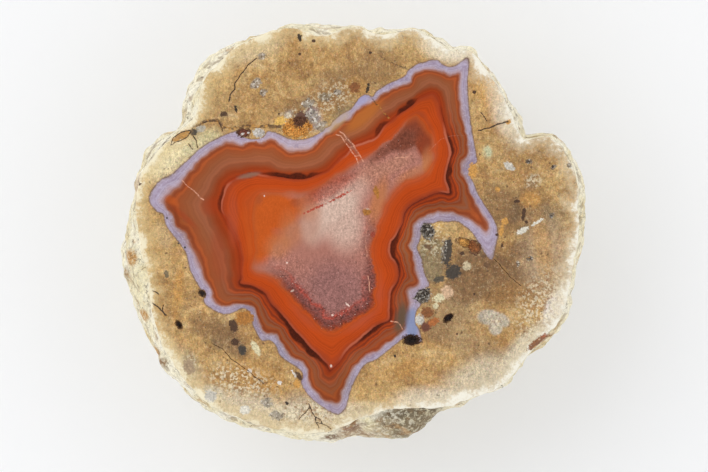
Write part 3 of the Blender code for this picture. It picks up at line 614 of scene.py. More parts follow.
def even_steps(line, step):
    """Points at even steps, ends included, along an open line."""
    along = np.concatenate([[0.0], np.cumsum(np.linalg.norm(np.diff(line, axis=0), axis=1))])
    wanted = np.linspace(0.0, along[-1], max(2, round(along[-1] / step) + 1))
    return np.stack([np.interp(wanted, along, line[:, axis]) for axis in (0, 1)], axis=1)


def smooth_loop(knots, step):
    """Points at even steps on the closed curve through the knots."""
    knots = np.array(knots)
    before, after, beyond = (np.roll(knots, shift, axis=0) for shift in (1, -1, -2))
    shares = np.linspace(0.0, 1.0, CURVE_STEPS, endpoint=False)[:, None, None]
    curve = 0.5 * (
        2.0 * knots
        + (after - before) * shares
        + (2.0 * before - 5.0 * knots + 4.0 * after - beyond) * shares**2
        + (3.0 * knots - before - 3.0 * after + beyond) * shares**3
    )
    curve = curve.transpose(1, 0, 2).reshape(-1, 2)
    return even_steps(np.vstack([curve, curve[:1]]), step)[:-1]


def in_batches(points):
    """The points in batches small enough to be set against a whole line at once."""
    return np.array_split(points, len(points) // BATCH + 1)


def distances(points, starts, ends):
    """Each point's distance to the nearest of some straight pieces, which piece it is, and how far along."""
    along = ends - starts
    length = np.maximum((along**2).sum(1), TINY)
    found = []
    for batch in in_batches(points[:, None, :]):
        shares = (((batch - starts) * along).sum(2) / length).clip(0.0, 1.0)
        gaps = np.linalg.norm(batch - starts - shares[..., None] * along, axis=2)
        nearest = gaps.argmin(1)
        rows = np.arange(len(nearest))
        found.append((gaps[rows, nearest], nearest, shares[rows, nearest]))
    return [np.concatenate(column) for column in zip(*found)]


def inside(points, loop):
    """Which points lie inside a closed loop."""
    ends = np.roll(loop, -1, axis=0)
    rise = ends[:, 1] - loop[:, 1]
    rise[rise == 0.0] = TINY
    found = []
    for batch in in_batches(points):
        x, y = batch[:, :1], batch[:, 1:]
        crossed = (loop[:, 1] > y) != (ends[:, 1] > y)
        reached = loop[:, 0] + (y - loop[:, 1]) / rise * (ends[:, 0] - loop[:, 0])
        found.append((crossed & (x < reached)).sum(1) % 2 == 1)
    return np.concatenate(found)


def depth_inside(points, loop):
    """How far each point is inside a closed loop. Outside it the answer is negative."""
    gap = distances(points, loop, np.roll(loop, -1, axis=0))[0]
    return np.where(inside(points, loop), gap, -gap)


def from_middle(points, patch):
    """Each point's distance from a patch's middle, where 1 is its edge."""
    x, y, half_length, half_width, turn_deg = patch[:5]
    turn = math.radians(turn_deg)
    away = points - np.array((x, y))
    long = (away[:, 0] * math.cos(turn) + away[:, 1] * math.sin(turn)) / half_length
    wide = (away[:, 1] * math.cos(turn) - away[:, 0] * math.sin(turn)) / half_width
    return np.hypot(long, wide)


def soft_edge(points, patch):
    """1 over most of a patch and 0 outside it, with a soft edge between them."""
    return smooth(1.45 - 1.15 * from_middle(points, patch))


def weight_of(points, patches):
    """How strongly some soft patches together lie on each point."""
    return sum(patch[5] * soft_edge(points, patch) for patch in patches)


def blend_tones(points, tones):
    """The mixed colour of soft patches at each point, and how much of it shows."""
    colours, weights = np.zeros((len(points), 3)), np.zeros(len(points))
    for pigment, patches in tones.items():
        weight = weight_of(points, patches)
        colours += weight[:, None] * linear(pigment)
        weights += weight
    return np.column_stack([colours / np.maximum(weights, 1e-6)[:, None], np.clip(weights, 0.0, 1.0)])


def blend_tints(points, tints):
    """The product of soft patches that multiply red, green and blue at each point."""
    product = np.ones((len(points), 4))
    for *patch, red, green, blue in tints:
        product[:, :3] *= 1.0 + soft_edge(points, patch)[:, None] * (np.array((red, green, blue)) - 1.0)
    return product


def nearest_colours(points, marks, colour_of):
    """The colour of the nearest mark at each point, and 1 inside it, 0.5 on its edge and 0 outside."""
    nearest, colours = np.full(len(points), 9.0), np.zeros((len(points), 3))
    for mark in marks:
        away = from_middle(points, mark)
        closer = away < nearest
        nearest[closer] = away[closer]
        colours[closer] = colour_of(mark, away[closer])
    return np.column_stack([colours, np.clip(1.5 - nearest, 0.0, 1.0)])


def spot_colour(spot, _):
    """A small spot has one pigment all over."""
    return linear(spot[5])


def pit_colour(pit, away):
    """A pit has one pigment on its floor and another at its rim."""
    *_, floor, rim = pit
    share = smooth(1.25 - away)[:, None]
    return share * np.array(linear(floor)) + (1.0 - share) * np.array(linear(rim))


def line_path(route):
    """Points at even steps along a crack or vein, wavering a little from its route."""
    path = even_steps(np.array(route), LINE_STEP)
    return path + WAVER * np.stack([noise_of(path, WAVER_SIZE, seed) for seed in (12.0, 17.0)], axis=1)


def line_distance(points, lines):
    """How far each point lies outside the nearest of some tapering lines. Inside one it is negative."""
    starts, ends, widths = [], [], []
    for route, first_width, last_width in lines.values():
        path = line_path(route)
        half_widths = np.linspace(first_width, last_width, len(path))
        starts.append(path[:-1])
        ends.append(path[1:])
        widths.append(np.stack([half_widths[:-1], half_widths[1:]], axis=1))
    widths = np.vstack(widths)
    gap, which, share = distances(points, np.vstack(starts), np.vstack(ends))
    return gap - (widths[which, 0] * (1.0 - share) + widths[which, 1] * share)


def lattice(step, low, high):
    """A net of points in even triangles over a rectangle, each a little off its place."""
    rows = np.arange(low[1], high[1], step * math.sqrt(0.75))
    across = np.arange(low[0], high[0], step)
    grid = np.array([[x + step / 2.0 * (row % 2), y] for row, y in enumerate(rows) for x in across])
    return grid + 0.1 * step * np.random.default_rng(7).uniform(-1.0, 1.0, grid.shape)


def outer_hit(solid, origin, direction):
    """Where a ray from far outside towards the origin first meets the solid."""
    far = Vector(origin) + Vector(direction) * FAR_AWAY
    return np.array(solid.ray_cast(far, -Vector(direction))[0])


def outline_at(solid, level):
    """The solid's outline at a level, one point for each column."""
    turns = np.linspace(0.0, 2.0 * math.pi, COLUMNS, endpoint=False)
    ways = np.stack([np.cos(turns), np.sin(turns), 0.0 * turns], axis=1)
    return np.array([outer_hit(solid, (0.0, 0.0, level), way) for way in ways])


def rim_outline(solid):
    """The cut face's outline from the solid, rounded over its facets and a little chipped."""
    found = outline_at(solid, HEIGHT - 0.02)[:, :2]
    found = (np.roll(found, 1, axis=0) + 2.0 * found + np.roll(found, -1, axis=0)) / 4.0
    outward = found / np.linalg.norm(found, axis=1)[:, None]
    ragged = lumps_of(found, (0.3, 2.6, 0.0), (0.2, 1.1, 5.0))
    return found + outward * (ragged + PROUD)[:, None]


def rim_drop(points, inward):
    """How far the worn edge lies below the cut face, at points so far in from the rim."""
    chipped = smooth(noise_of(points, 3.1, 11.0) * 2.2 - 0.25)
    reach = 0.35 + 0.9 * chipped
    return (0.14 + 0.34 * chipped) * smooth(1.0 - inward / reach)


def rind_relief(points):
    """The rind's fine relief on top of the solid's own lumps: knobs, flakes, pocks and grain."""
    level = (points[:, 2] + 3.2 * noise_of(points, 4.0, 3.0)) / FLAKE_HEIGHT
    share = level - np.floor(level)
    flakes = smooth(share / 0.25) - share
    relief = lumps_of(points, (0.42, 2.6, 1.0), (0.2, 1.1, 2.0), (0.1, 0.55, 0.0))
    relief += 0.4 * (0.45 - cells_of(points, KNOB_SIZE)) + 0.22 * flakes
    pocks = smooth((0.24 - cells_of(points, POCK_SIZE, 9.0)) / 0.2)
    return relief - 0.45 * pocks * smooth(noise_of(points, 5.0, 8.0) * 3.0)


def crevices(relief):
    """How far each wall point's relief lies below that of the wall round it."""
    net = relief.reshape(WALL_ROWS + 1, COLUMNS)
    around = net.copy()
    for _ in range(3):
        padded = np.vstack([around[:1], around, around[-1:]])
        around = (padded[:-2] + padded[2:] + np.roll(around, 1, axis=1) + np.roll(around, -1, axis=1)) / 4.0
    return (around - net).ravel()


def bearing_of(points):
    """Each point's turn round the body's middle, its rise above it and its distance from it."""
    away = points - BODY_MIDDLE
    turn = np.arctan2(away[:, 1], away[:, 0])
    rise = np.arctan2(away[:, 2], np.linalg.norm(away[:, :2], axis=1))
    return turn, rise, np.linalg.norm(away, axis=1)


def wall_rows(solid, rim, foot):
    """The ways from the body's middle to the wall, in rows from rim to foot, and how far it is each way."""
    turn, rim_rise, rim_radius = bearing_of(rim)
    _, foot_rise, foot_radius = bearing_of(foot)
    ways, radii = [], []
    for row in range(WALL_ROWS + 1):
        rise = rim_rise * (1.0 - row / WALL_ROWS) + foot_rise * (row / WALL_ROWS)
        way = np.column_stack([np.cos(turn) * np.cos(rise), np.sin(turn) * np.cos(rise), np.sin(rise)])
        ways.append(way)
        radii.append([np.linalg.norm(outer_hit(solid, BODY_MIDDLE, ray) - BODY_MIDDLE) for ray in way])
    ways, radii = np.array(ways), np.array(radii)
    radii[0], radii[-1] = rim_radius, foot_radius
    for _ in range(2):
        blurred = radii.copy()
        blurred[1:-1] = (radii[:-2] + 2.0 * radii[1:-1] + radii[2:]) / 4.0
        radii = (np.roll(blurred, 1, axis=1) + 2.0 * blurred + np.roll(blurred, -1, axis=1)) / 4.0
    radii[0], radii[-1] = rim_radius, foot_radius
    return ways.reshape(-1, 3), radii.reshape(-1, 1)


def make_wall(solid, rim):
    """Rows of points down the wall, from the rim to the flat spot's edge, and their relief."""
    foot = outline_at(solid, 0.03)
    foot[:, 2] = 0.0
    ways, radii = wall_rows(solid, np.column_stack([rim, np.full(COLUMNS, HEIGHT)]), foot)
    bare = BODY_MIDDLE + ways * radii
    fade = smooth((HEIGHT - bare[:, 2]) / 1.2) * smooth(bare[:, 2] / 2.5)
    relief = rind_relief(bare) * fade
    wall = bare + ways * (relief + PROUD * fade)[:, None]
    wall[-COLUMNS:, 2] = 0.0
    drop = np.tile(rim_drop(wall[:COLUMNS, :2], np.zeros(COLUMNS)), WALL_ROWS + 1)
    wall[:, 2] -= drop * smooth(1.0 - (HEIGHT - wall[:, 2]) / 1.6)
    return wall, relief


def pit_points():
    """A close net of points over each pit of the cut face."""
    found = []
    for pit in PITS.values():
        middle, reach = np.array(pit[:2]), 1.5 * max(pit[2:4])
        net = lattice(PIT_STEP, middle - reach, middle + reach)
        found.append(net[from_middle(net, pit) < 1.35])
    return np.vstack(found)


def spot_points():
    """The middle of each small spot, with two rings of points round it."""
    found = []
    turns = np.linspace(0.0, 2.0 * math.pi, 9, endpoint=False)
    for x, y, half_length, half_width, turn_deg, _ in SPOTS:
        if max(half_length, half_width) > 1.0:
            continue
        found.append(np.array([(x, y)]))
        turn = math.radians(turn_deg)
        for ring in (0.8, 1.5):
            long, wide = np.cos(turns) * half_length * ring, np.sin(turns) * half_width * ring
            found.append(np.column_stack([
                x + long * math.cos(turn) - wide * math.sin(turn),
                y + long * math.sin(turn) + wide * math.cos(turn)]))
    return np.vstack(found)


def line_points():
    """Points along every crack and pale line, with one row on each side, and the pairs that they join."""
    points, pairs = [], []
    for route, first_width, last_width in (*CRACKS.values(), *PALE_LINES.values()):
        path = line_path(route)
        along = np.gradient(path, axis=0)
        side = np.column_stack([-along[:, 1], along[:, 0]]) / np.linalg.norm(along, axis=1)[:, None]
        first = len(points)
        pairs.extend((first + step, first + step + 1) for step in range(len(path) - 1))
        reach = np.linspace(first_width, last_width, len(path))[1:-1, None] + 0.06
        points.extend(path)
        points.extend(path[1:-1] + side[1:-1] * reach)
        points.extend(path[1:-1] - side[1:-1] * reach)
    return np.array(points), pairs


def keep_apart(points, others, gap):
    """The points that lie no nearer than the gap to any of the others."""
    tree = KDTree(len(others))
    for index, (x, y) in enumerate(others):
        tree.insert((x, y, 0.0), index)
    tree.balance()
    return points[[tree.find((x, y, 0.0))[2] > gap for x, y in points]]


def fill(loop, inner, pairs=()):
    """The inner points in use, and triangles over a closed loop. The loop's points have the first numbers."""
    count = len(loop)
    points = [Vector(point) for point in (*loop, *inner)]
    edges = [(count + first, count + second) for first, second in pairs]
    found = delaunay_2d_cdt(points, edges, [list(range(count))], 1, 1e-5, True)
    spots = np.array([tuple(point) for point in found[0]])
    order = {origin: index for index, origins in enumerate(found[3]) for origin in origins}
    on_loop = [order[index] for index in range(count)]
    triangles = np.array([tuple(face) for face in found[2] if len(face) == 3])
    triangles = triangles[inside(spots[triangles].mean(1), spots[on_loop])]
    rest = np.setdiff1d(triangles, on_loop)
    number = np.zeros(len(spots), int)
    number[on_loop] = np.arange(count)
    number[rest] = np.arange(count, count + len(rest))
    return spots[rest], number[triangles]


def face_heights(points, inward, crack_mm, pale_mm):
    """The cut face's level: pits, open cracks, a worn rim and a faint roll of the polish."""
    level = HEIGHT + 0.006 * noise_of(points, 2.4) - rim_drop(points, inward)
    for pit in PITS.values():
        away = from_middle(points, pit)
        near = away < 1.5
        ragged = away[near] + lumps_of(points[near], (0.3, 0.7, pit[0]), (0.12, 0.25, 0.0))
        bowl = np.sqrt(np.clip(1.0 - ragged**2, 0.0, 1.0))
        level[near] -= pit[5] * bowl * (0.85 + lumps_of(points[near], (0.28, 0.33, 4.0), (0.2, 0.6, 2.0)))
    for depth, line_mm in ((CRACK_DEPTH, crack_mm), (PALE_LINE_DEPTH, pale_mm)):
        level -= depth * smooth(0.7 - line_mm / 0.08)
    return level


def band_values(points):
    """Each point's band, from 0 to 3 in the star, more in the quartz and less than 0 in the rock.

    With it come the bands per millimetre there, and how far inside the star and the dark line the point is.
    """
    loops = [smooth_loop(knots, 0.4) for knots in (ROCK_EDGE, LILAC_EDGE, DARK_LINE, QUARTZ_EDGE)]
    depths = [depth_inside(points, loop) for loop in loops]
    depths[1] += BUBBLE_HEIGHT * (0.34 - cells_of(points, BUBBLE_SIZE))
    depths[2] += LINE_WAVE_HEIGHT * noise_of(points, LINE_WAVE_SIZE, 3.0)
    depths[3] += QUARTZ_WAVE_HEIGHT * noise_of(points, QUARTZ_WAVE_SIZE, 6.0)
    bands, rates = depths[0].copy(), np.ones(len(points))
    for number, (outer, inner) in enumerate(zip(depths, depths[1:])):
        between = (outer > 0.0) & (inner <= 0.0)
        rate = 1.0 / np.maximum(outer - inner, 0.3)
        bands = np.where(between, number + np.minimum(outer * rate, 1.0), bands)
        rates = np.where(between, rate, rates)
    bands = np.where(depths[3] > 0.0, 3.0 + depths[3], bands)
    return {"band": bands, "band_rate": rates, "star_depth": depths[0], "line_depth": depths[2]}


def make_face(rim):
    """The cut face: its points inside the rim, its triangles and what is known of each point."""
    solid_lines, pairs = line_points()
    close = keep_apart(np.vstack([pit_points(), spot_points()]), solid_lines, 0.07)
    fixed = np.vstack([solid_lines, close])
    net = lattice(FACE_STEP, rim.min(0), rim.max(0))
    net = net[depth_inside(net, rim) > 0.6 * FACE_STEP]
    net = keep_apart(net, fixed, 0.5 * FACE_STEP)
    inner, triangles = fill(rim, np.vstack([fixed, net]), pairs)
    points = np.vstack([rim, inner])
    inward = depth_inside(points, rim)
    crack_mm, pale_mm = line_distance(points, CRACKS), line_distance(points, PALE_LINES)
    values = {
        **band_values(points),
        **{name: np.clip(weight_of(points, patches), 0.0, 1.0) for name, patches in COVERS.items()},
        "rim_mm": inward,
        "crack_mm": crack_mm,
        "pale_mm": pale_mm,
        "vein_mm": line_distance(points, VEINS),
        "tint": blend_tints(points, STAR_TINTS),
        "rock_tone": blend_tones(points, ROCK_TONES),
        "star_tone": blend_tones(points, STAR_TONES),
        "spot": nearest_colours(points, SPOTS, spot_colour),
        "pocket": nearest_colours(points, POCKETS, spot_colour),
        "pit_shade": nearest_colours(points, PITS.values(), pit_colour),
    }
    return np.column_stack([points, face_heights(points, inward, crack_mm, pale_mm)]), triangles, values


def make_foot(loop):
    """The flat spot that the stone rests on: inner points and triangles."""
    net = lattice(FOOT_STEP, loop.min(0), loop.max(0))
    inner, triangles = fill(loop, net[depth_inside(net, loop) > 0.5 * FOOT_STEP])
    return np.column_stack([inner, np.zeros(len(inner))]), triangles


def rind_stains(wall):
    """The colour of the wall's stains and how much of it shows. None reaches far below the belly."""
    wander = 3.0 * noise_of(wall, 2.2, 6.0)
    stains, edge_stains = (blend_tones(wall[:, :2], tones) for tones in (RIND_TONES, RIM_TONES))
    stains[:, 3] *= smooth((wall[:, 2] + wander - STAIN_FOOT) / 2.4)
    edge_stains[:, 3] *= smooth((wall[:, 2] + wander - RIM_STAIN_FOOT) / 1.6)
    return np.where(edge_stains[:, 3:] > stains[:, 3:], edge_stains, stains)


def add_values(mesh, count, name, *runs):
    """Stores one number, or one colour with its cover, at every vertex. Each run has its first vertex."""
    shape = runs[0][1].shape[1:]
    values = np.zeros((count, *shape), np.float32)
    for first, found in runs:
        values[first : first + len(found)] = found
    kind, field = ("FLOAT_COLOR", "color") if shape else ("FLOAT", "value")
    layer = mesh.attributes.new(name, kind, "POINT")
    layer.data.foreach_set(field, values.ravel())


def add_object(name, data):
    """A new object in the scene."""
    thing = bpy.data.objects.new(name, data)
    bpy.context.scene.collection.objects.link(thing)
    return thing


def wall_triangles():
    """Two triangles for each gap between the wall's rows and columns."""
    here = np.arange(COLUMNS)
    there = np.roll(here, -1)
    quads = np.vstack([
        np.stack([row + here, row + COLUMNS + here, row + COLUMNS + there, row + there], axis=1)
        for row in range(0, WALL_ROWS * COLUMNS, COLUMNS)])
    return np.vstack([quads[:, [0, 1, 2]], quads[:, [0, 2, 3]]])


def make_stone():
    """The whole stone as one closed mesh, with its cut face, rind and flat spot."""
    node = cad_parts[NODE]
    corners = [vertex.co / MM for vertex in node.data.vertices]
    solid = BVHTree.FromPolygons(corners, [tuple(face.vertices) for face in node.data.polygons])
    wall, relief = make_wall(solid, rim_outline(solid))
    face, top, values = make_face(wall[:COLUMNS, :2])
    foot, under = make_foot(wall[-COLUMNS:, :2])

    wall[:COLUMNS] = face[:COLUMNS]
    points = np.vstack([wall, face[COLUMNS:], foot])
    walls = wall_triangles()
    last_row = WALL_ROWS * COLUMNS
    top = np.where(top < COLUMNS, top, top + last_row)
    under = np.where(under < COLUMNS, under + last_row, under + last_row + len(face) - COLUMNS)
    triangles = np.vstack([top, walls, under[:, ::-1]])

    mesh = bpy.data.meshes.new(PIECE)
    mesh.from_pydata((points * MM).tolist(), [], triangles.tolist())
    for name, found in values.items():
        add_values(mesh, len(points), name, (0, found[:COLUMNS]), (len(wall), found[COLUMNS:]))
    for name, found in (("relief", relief), ("crevice_shade", crevices(relief)), ("rind_tone", rind_stains(wall))):
        add_values(mesh, len(points), name, (0, found))
    mesh.materials.append(face_material())
    mesh.materials.append(rind_material())
    mesh.polygons.foreach_set("material_index", (np.arange(len(triangles)) >= len(top)).astype(np.int32))
    add_bake_map(mesh, points, len(top), len(top) + len(walls))
    mesh.shade_smooth()
    mesh.set_sharp_from_angle(angle=math.radians(SHARP_DEG))
    return add_object(PIECE, mesh)


def add_bake_map(mesh, points, wall_start, foot_start):
    """A flat map for baking: the cut face large, the wall as a strip below it and the flat spot beside it."""
    corners = np.empty(len(mesh.loops), np.int32)
    mesh.loops.foreach_get("vertex_index", corners)
    corners = corners.reshape(-1, 3)
    top, strip, under = np.split(corners, [wall_start, foot_start])
    low, high = (np.array(corner)[:2] / MM for corner in CAD_BOX)
    top_places = 0.01 + 0.66 * (points[top][..., :2] - low) / (high - low)[0] + np.array([0.0, 0.33])
    column = (strip % COLUMNS).astype(float)
    wraps = (column.max(1) - column.min(1)) > COLUMNS / 2
    column[wraps] = np.where(column[wraps] < COLUMNS / 2, column[wraps] + COLUMNS, column[wraps])
    row = (strip // COLUMNS) / WALL_ROWS
    strip_places = np.stack([0.005 + 0.99 * column / COLUMNS, 0.32 - 0.31 * row], axis=2)
    under_places = np.array([0.84, 0.5]) + 0.012 * points[under][..., :2]
    places = np.vstack([top_places, strip_places, under_places])
    layer = mesh.uv_layers.new(name="OFBake")
    layer.uv.foreach_set("vector", places.astype(np.float32).ravel())


class Recipe:
    """A material's nodes. Most methods add a node and return the socket with its result.

    A noise is given as its lump size in millimetres, its detail, its roughness and its distortion.
    """

    def __init__(self, name):
        self.material = bpy.data.materials.new(name)
        self.material.use_nodes = True
        self.tree = self.material.node_tree
        self.shader = self.tree.nodes["Principled BSDF"]
        self.place = self.vector("SCALE", self.node("ShaderNodeTexCoord", {}, "Object"), 1.0 / MM)

    def node(self, kind, inputs, output=0, **settings):
        """Adds a node, gives its inputs their values and returns one of its outputs."""
        node = self.tree.nodes.new(kind)
        for name, value in settings.items():
            setattr(node, name, value)
        for name, value in inputs.items():
            self.put(node.inputs[name], value)
        return node.outputs[output]

    def put(self, socket, value):
        """Gives a socket another node's result, a number, a pigment's name or an sRGB colour."""
        if isinstance(value, bpy.types.NodeSocket):
            self.tree.links.new(value, socket)
        elif socket.type == "RGBA":
            socket.default_value = (*linear(value), 1.0)
        else:
            socket.default_value = value

    def math(self, operation, *values):
        return self.node("ShaderNodeMath", dict(enumerate(values)), operation=operation)

    def vector(self, operation, first, second):
        place = "Scale" if operation == "SCALE" else 1
        return self.node("ShaderNodeVectorMath", {0: first, place: second}, operation=operation)

    def times(self, first, *others):
        """The product of some numbers."""
        for other in others:
            first = self.math("MULTIPLY", first, other)
        return first

    def step(self, value, low, high, start=0.0, end=1.0):
        """An even S from start at low to end at high."""
        inputs = {"Value": value, "From Min": low, "From Max": high, "To Min": start, "To Max": end}
        return self.node("ShaderNodeMapRange", inputs, interpolation_type="SMOOTHSTEP")

    def about(self, value, middle, reach):
        """Turns noise from 0 to 1 into a number round the middle, no further off than the reach."""
        return self.math("MULTIPLY_ADD", value, 2.0 * reach, middle - reach)

    def noise(self, size, detail=2.0, roughness=0.5, distortion=0.0, place=None, output="Fac"):
        inputs = {"Vector": place or self.place, "Scale": 1.0 / size, "Detail": detail}
        inputs |= {"Roughness": roughness, "Distortion": distortion}
        return self.node("ShaderNodeTexNoise", inputs, output)

    def cells(self, size, feature="F1", output="Distance", place=None):
        """Cells of about this size in millimetres."""
        inputs = {"Vector": place or self.place, "Scale": 1.0 / size}
        return self.node("ShaderNodeTexVoronoi", inputs, output, feature=feature)

    def scatter(self, size, place=None):
        """A random number from 0 to 1 for each small cell."""
        return self.node("ShaderNodeSeparateColor", {0: self.cells(size, output="Color", place=place)})

    def shaken(self, size):
        """Places moved a little to and fro, so that cells there have ragged edges."""
        moved = self.vector("SCALE", self.noise(size, 3.0, output="Color"), 0.5)
        return self.vector("ADD", self.place, moved)

    def stretched(self, *noise):
        """Noise drawn out to long grains across the stone."""
        return self.noise(*noise, place=self.vector("MULTIPLY", self.place, (1.0, 0.35, 1.0)))

    def vary(self, noise, middle, reach):
        """A number that noise moves round the middle, no further off than the reach."""
        return self.about(self.noise(*noise), middle, reach)

    def blots(self, noise, low, high, start=0.0, end=1.0):
        """An even S from start, where the noise is low, to end, where it is high."""
        return self.step(self.noise(*noise), low, high, start, end)

    def stored(self, name, output="Fac"):
        """A value or a colour of the mesh."""
        return self.node("ShaderNodeAttribute", {}, output, attribute_name=name)

    def frayed(self, name, noise, reach):
        """A stored value that noise moves up and down."""
        return self.math("ADD", self.stored(name), self.vary(noise, 0.0, reach))

    def gap(self, value, middle):
        """How far a value is from the middle."""
        return self.math("ABSOLUTE", self.math("SUBTRACT", value, middle))

    def patch(self, name, size, reach, low, high):
        """Where stored patches lie, with ragged edges but nothing far from them."""
        cover = self.stored(name, "Alpha")
        frayed = self.times(self.vary((size, 5.0, 0.75), 0.0, reach), self.step(cover, 0.0, 0.35))
        return self.step(self.math("ADD", cover, frayed), low, high)

    def mix(self, share, first, second, blend="MIX"):
        inputs = {0: share, 6: first, 7: second}
        return self.node("ShaderNodeMix", inputs, 2, data_type="RGBA", blend_type=blend)

    def lay(self, colour, shade, *shares):
        """The colour with a shade over it, as much as the product of the shares says."""
        return self.mix(self.times(*shares), colour, shade)

    def lay_stored(self, colour, name, *shares):
        """The colour with stored patches over it."""
        return self.lay(colour, self.stored(name, "Color"), self.stored(name, "Alpha"), *shares)

    def blot(self, colour, shade, noise, low, high, *shares):
        """The colour with patches of a shade over it, where the noise passes from low to high."""
        return self.lay(colour, shade, self.blots(noise, low, high), *shares)

    def brighten(self, colour, share):
        """The colour times a number."""
        grey = self.node("ShaderNodeCombineColor", {0: share, 1: share, 2: share})
        return self.mix(1.0, colour, grey, "MULTIPLY")

    def mottle(self, colour, noise, middle, reach):
        """The colour times noise round the middle."""
        return self.brighten(colour, self.vary(noise, middle, reach))

    def ramp(self, share, stops):
        """A run of colours: each stop is a place from 0 to 1 and an sRGB colour."""
        node = self.tree.nodes.new("ShaderNodeValToRGB")
        elements = node.color_ramp.elements
        while len(elements) < len(stops):
            elements.new(0.5)
        for element, (place, colour) in zip(elements, stops):
            element.position = place
            element.color = (*linear(colour), 1.0)
        self.put(node.inputs[0], share)
        return node.outputs[0]

    def finish(self, colour, roughness, height, depth):
        """Gives the shader its colour and roughness, and a bump from the height with this depth."""
        normal = self.node("ShaderNodeBump", {"Height": height, "Strength": 1.0, "Distance": depth * MM})
        for name, value in (("Base Color", colour), ("Roughness", roughness), ("Normal", normal)):
            self.put(self.shader.inputs[name], value)
        return self.material


def band_colour(recipe):
    """The agate's bands, drawn from each point's band number with a little wander, and that number."""
    ripple = recipe.vary((0.8, 2.0), 0.0, 0.16)
    band = recipe.math("MULTIPLY_ADD", ripple, recipe.stored("band_rate"), recipe.stored("band"))
    share = recipe.math("DIVIDE", band, LAST_BAND)
    broad, lined = (recipe.ramp(share, [(number / LAST_BAND, shade) for number, shade in bands])
                    for bands in (BROAD_BANDS, LINED_BANDS))
    colour = recipe.mix(recipe.stored("lined"), broad, lined)
    across = recipe.vector("SCALE", recipe.node("ShaderNodeCombineXYZ", {0: share}), 38.0)
    colour = recipe.brighten(colour, recipe.about(recipe.noise(1.0, 1.0, place=across), 1.0, 0.34))
    colour = recipe.mottle(colour, (3.0, 3.0), 1.0, 0.10)
    colour = recipe.mix(1.0, colour, recipe.stored("tint", "Color"), "MULTIPLY")
    lilac = recipe.step(band, 0.86, 0.6)
    colour = recipe.blot(colour, "lilac_cloud", (1.3, 4.0, 0.65), 0.5, 0.62, lilac, 0.4)
    colour = recipe.blot(colour, "violet", (1.5, 4.0, 0.65, 0.4), 0.47, 0.36, lilac, 0.5)
    colour = recipe.blot(colour, "bead", (0.3, 2.0), 0.54, 0.66, lilac, 0.3)
    return add_edge_lines(recipe, colour), band


def add_edge_lines(recipe, colour):
    """The dark line, which comes and goes and swells and thins, and the pinkish line on its inner side."""
    depth = recipe.frayed("line_depth", (0.9, 2.0), 0.12)
    width = recipe.times(recipe.stored("dark"), recipe.vary((2.2, 2.0), DARK_LINE_WIDTH, 0.9))
    outer = recipe.step(recipe.math("ADD", depth, width), -0.1, 0.35)
    inner = recipe.step(depth, 0.08, -0.04)
    strength = recipe.vary((0.4, 3.0, 0.7), 0.95, 0.3)
    colour = recipe.lay(colour, "maroon", outer, inner, recipe.stored("dark"), strength)
    line = recipe.step(recipe.gap(depth, PINK_LINE_PLACE), 0.24, 0.04)
    return recipe.lay(colour, "pink_line", line, recipe.stored("pink"), 0.8)


def quartz_colour(recipe):
    """The quartz: smooth and amber at the left, milky in the middle, mauve and crusted at its edges, with
    painted glints on its grains.
    """
    tone = recipe.lay_stored("rose", "star_tone")
    grainy = recipe.stored("grainy")
    strength = recipe.math("MULTIPLY_ADD", grainy, 0.5, 0.2)
    streaks = recipe.about(recipe.stretched(0.3, 4.0, 0.7), 0.0, 0.9)
    tone = recipe.brighten(tone, recipe.math("MULTIPLY_ADD", streaks, strength, 1.0))
    depth = recipe.math("ADD", recipe.stored("band"), recipe.vary((1.1, 4.0, 0.6), -3.0, 1.0))
    crust = recipe.ramp(recipe.math("DIVIDE", depth, CRUST_DEPTH), CRUST_COLOURS)
    cover = recipe.times(recipe.stored("crust"), recipe.step(depth, CRUST_DEPTH, 0.75 * CRUST_DEPTH))
    colour = recipe.mix(cover, tone, crust)

    rough = recipe.math("MULTIPLY_ADD", cover, 0.6, recipe.math("MULTIPLY_ADD", grainy, 0.5, 0.12))
    crystals = recipe.about(recipe.scatter(0.2), 0.0, 0.34)
    grain = recipe.math("ADD", crystals, recipe.vary((0.24, 4.0, 0.8), 0.0, 1.1))
    colour = recipe.brighten(colour, recipe.math("MULTIPLY_ADD", grain, rough, 1.0))
    colour = recipe.mottle(colour, (2.2, 3.0), 1.0, 0.07)

    threads = recipe.step(recipe.gap(recipe.noise(1.0, 5.0, 0.7), 0.5), 0.035, 0.01)
    colour = recipe.lay(colour, "blood", threads, recipe.step(depth, 3.6, 2.0), recipe.stored("crust"), 0.3)
    # Painted glints: small pale dots where the quartz's grains catch the light.
    dots = recipe.step(recipe.cells(0.36), 0.2, 0.1)
    some = recipe.step(recipe.scatter(0.36), 0.74, 0.8)
    painted_glint_share = recipe.math("MULTIPLY_ADD", cover, 0.6, recipe.times(grainy, 0.35))
    return recipe.lay(colour, "painted_glint", dots, some, painted_glint_share)


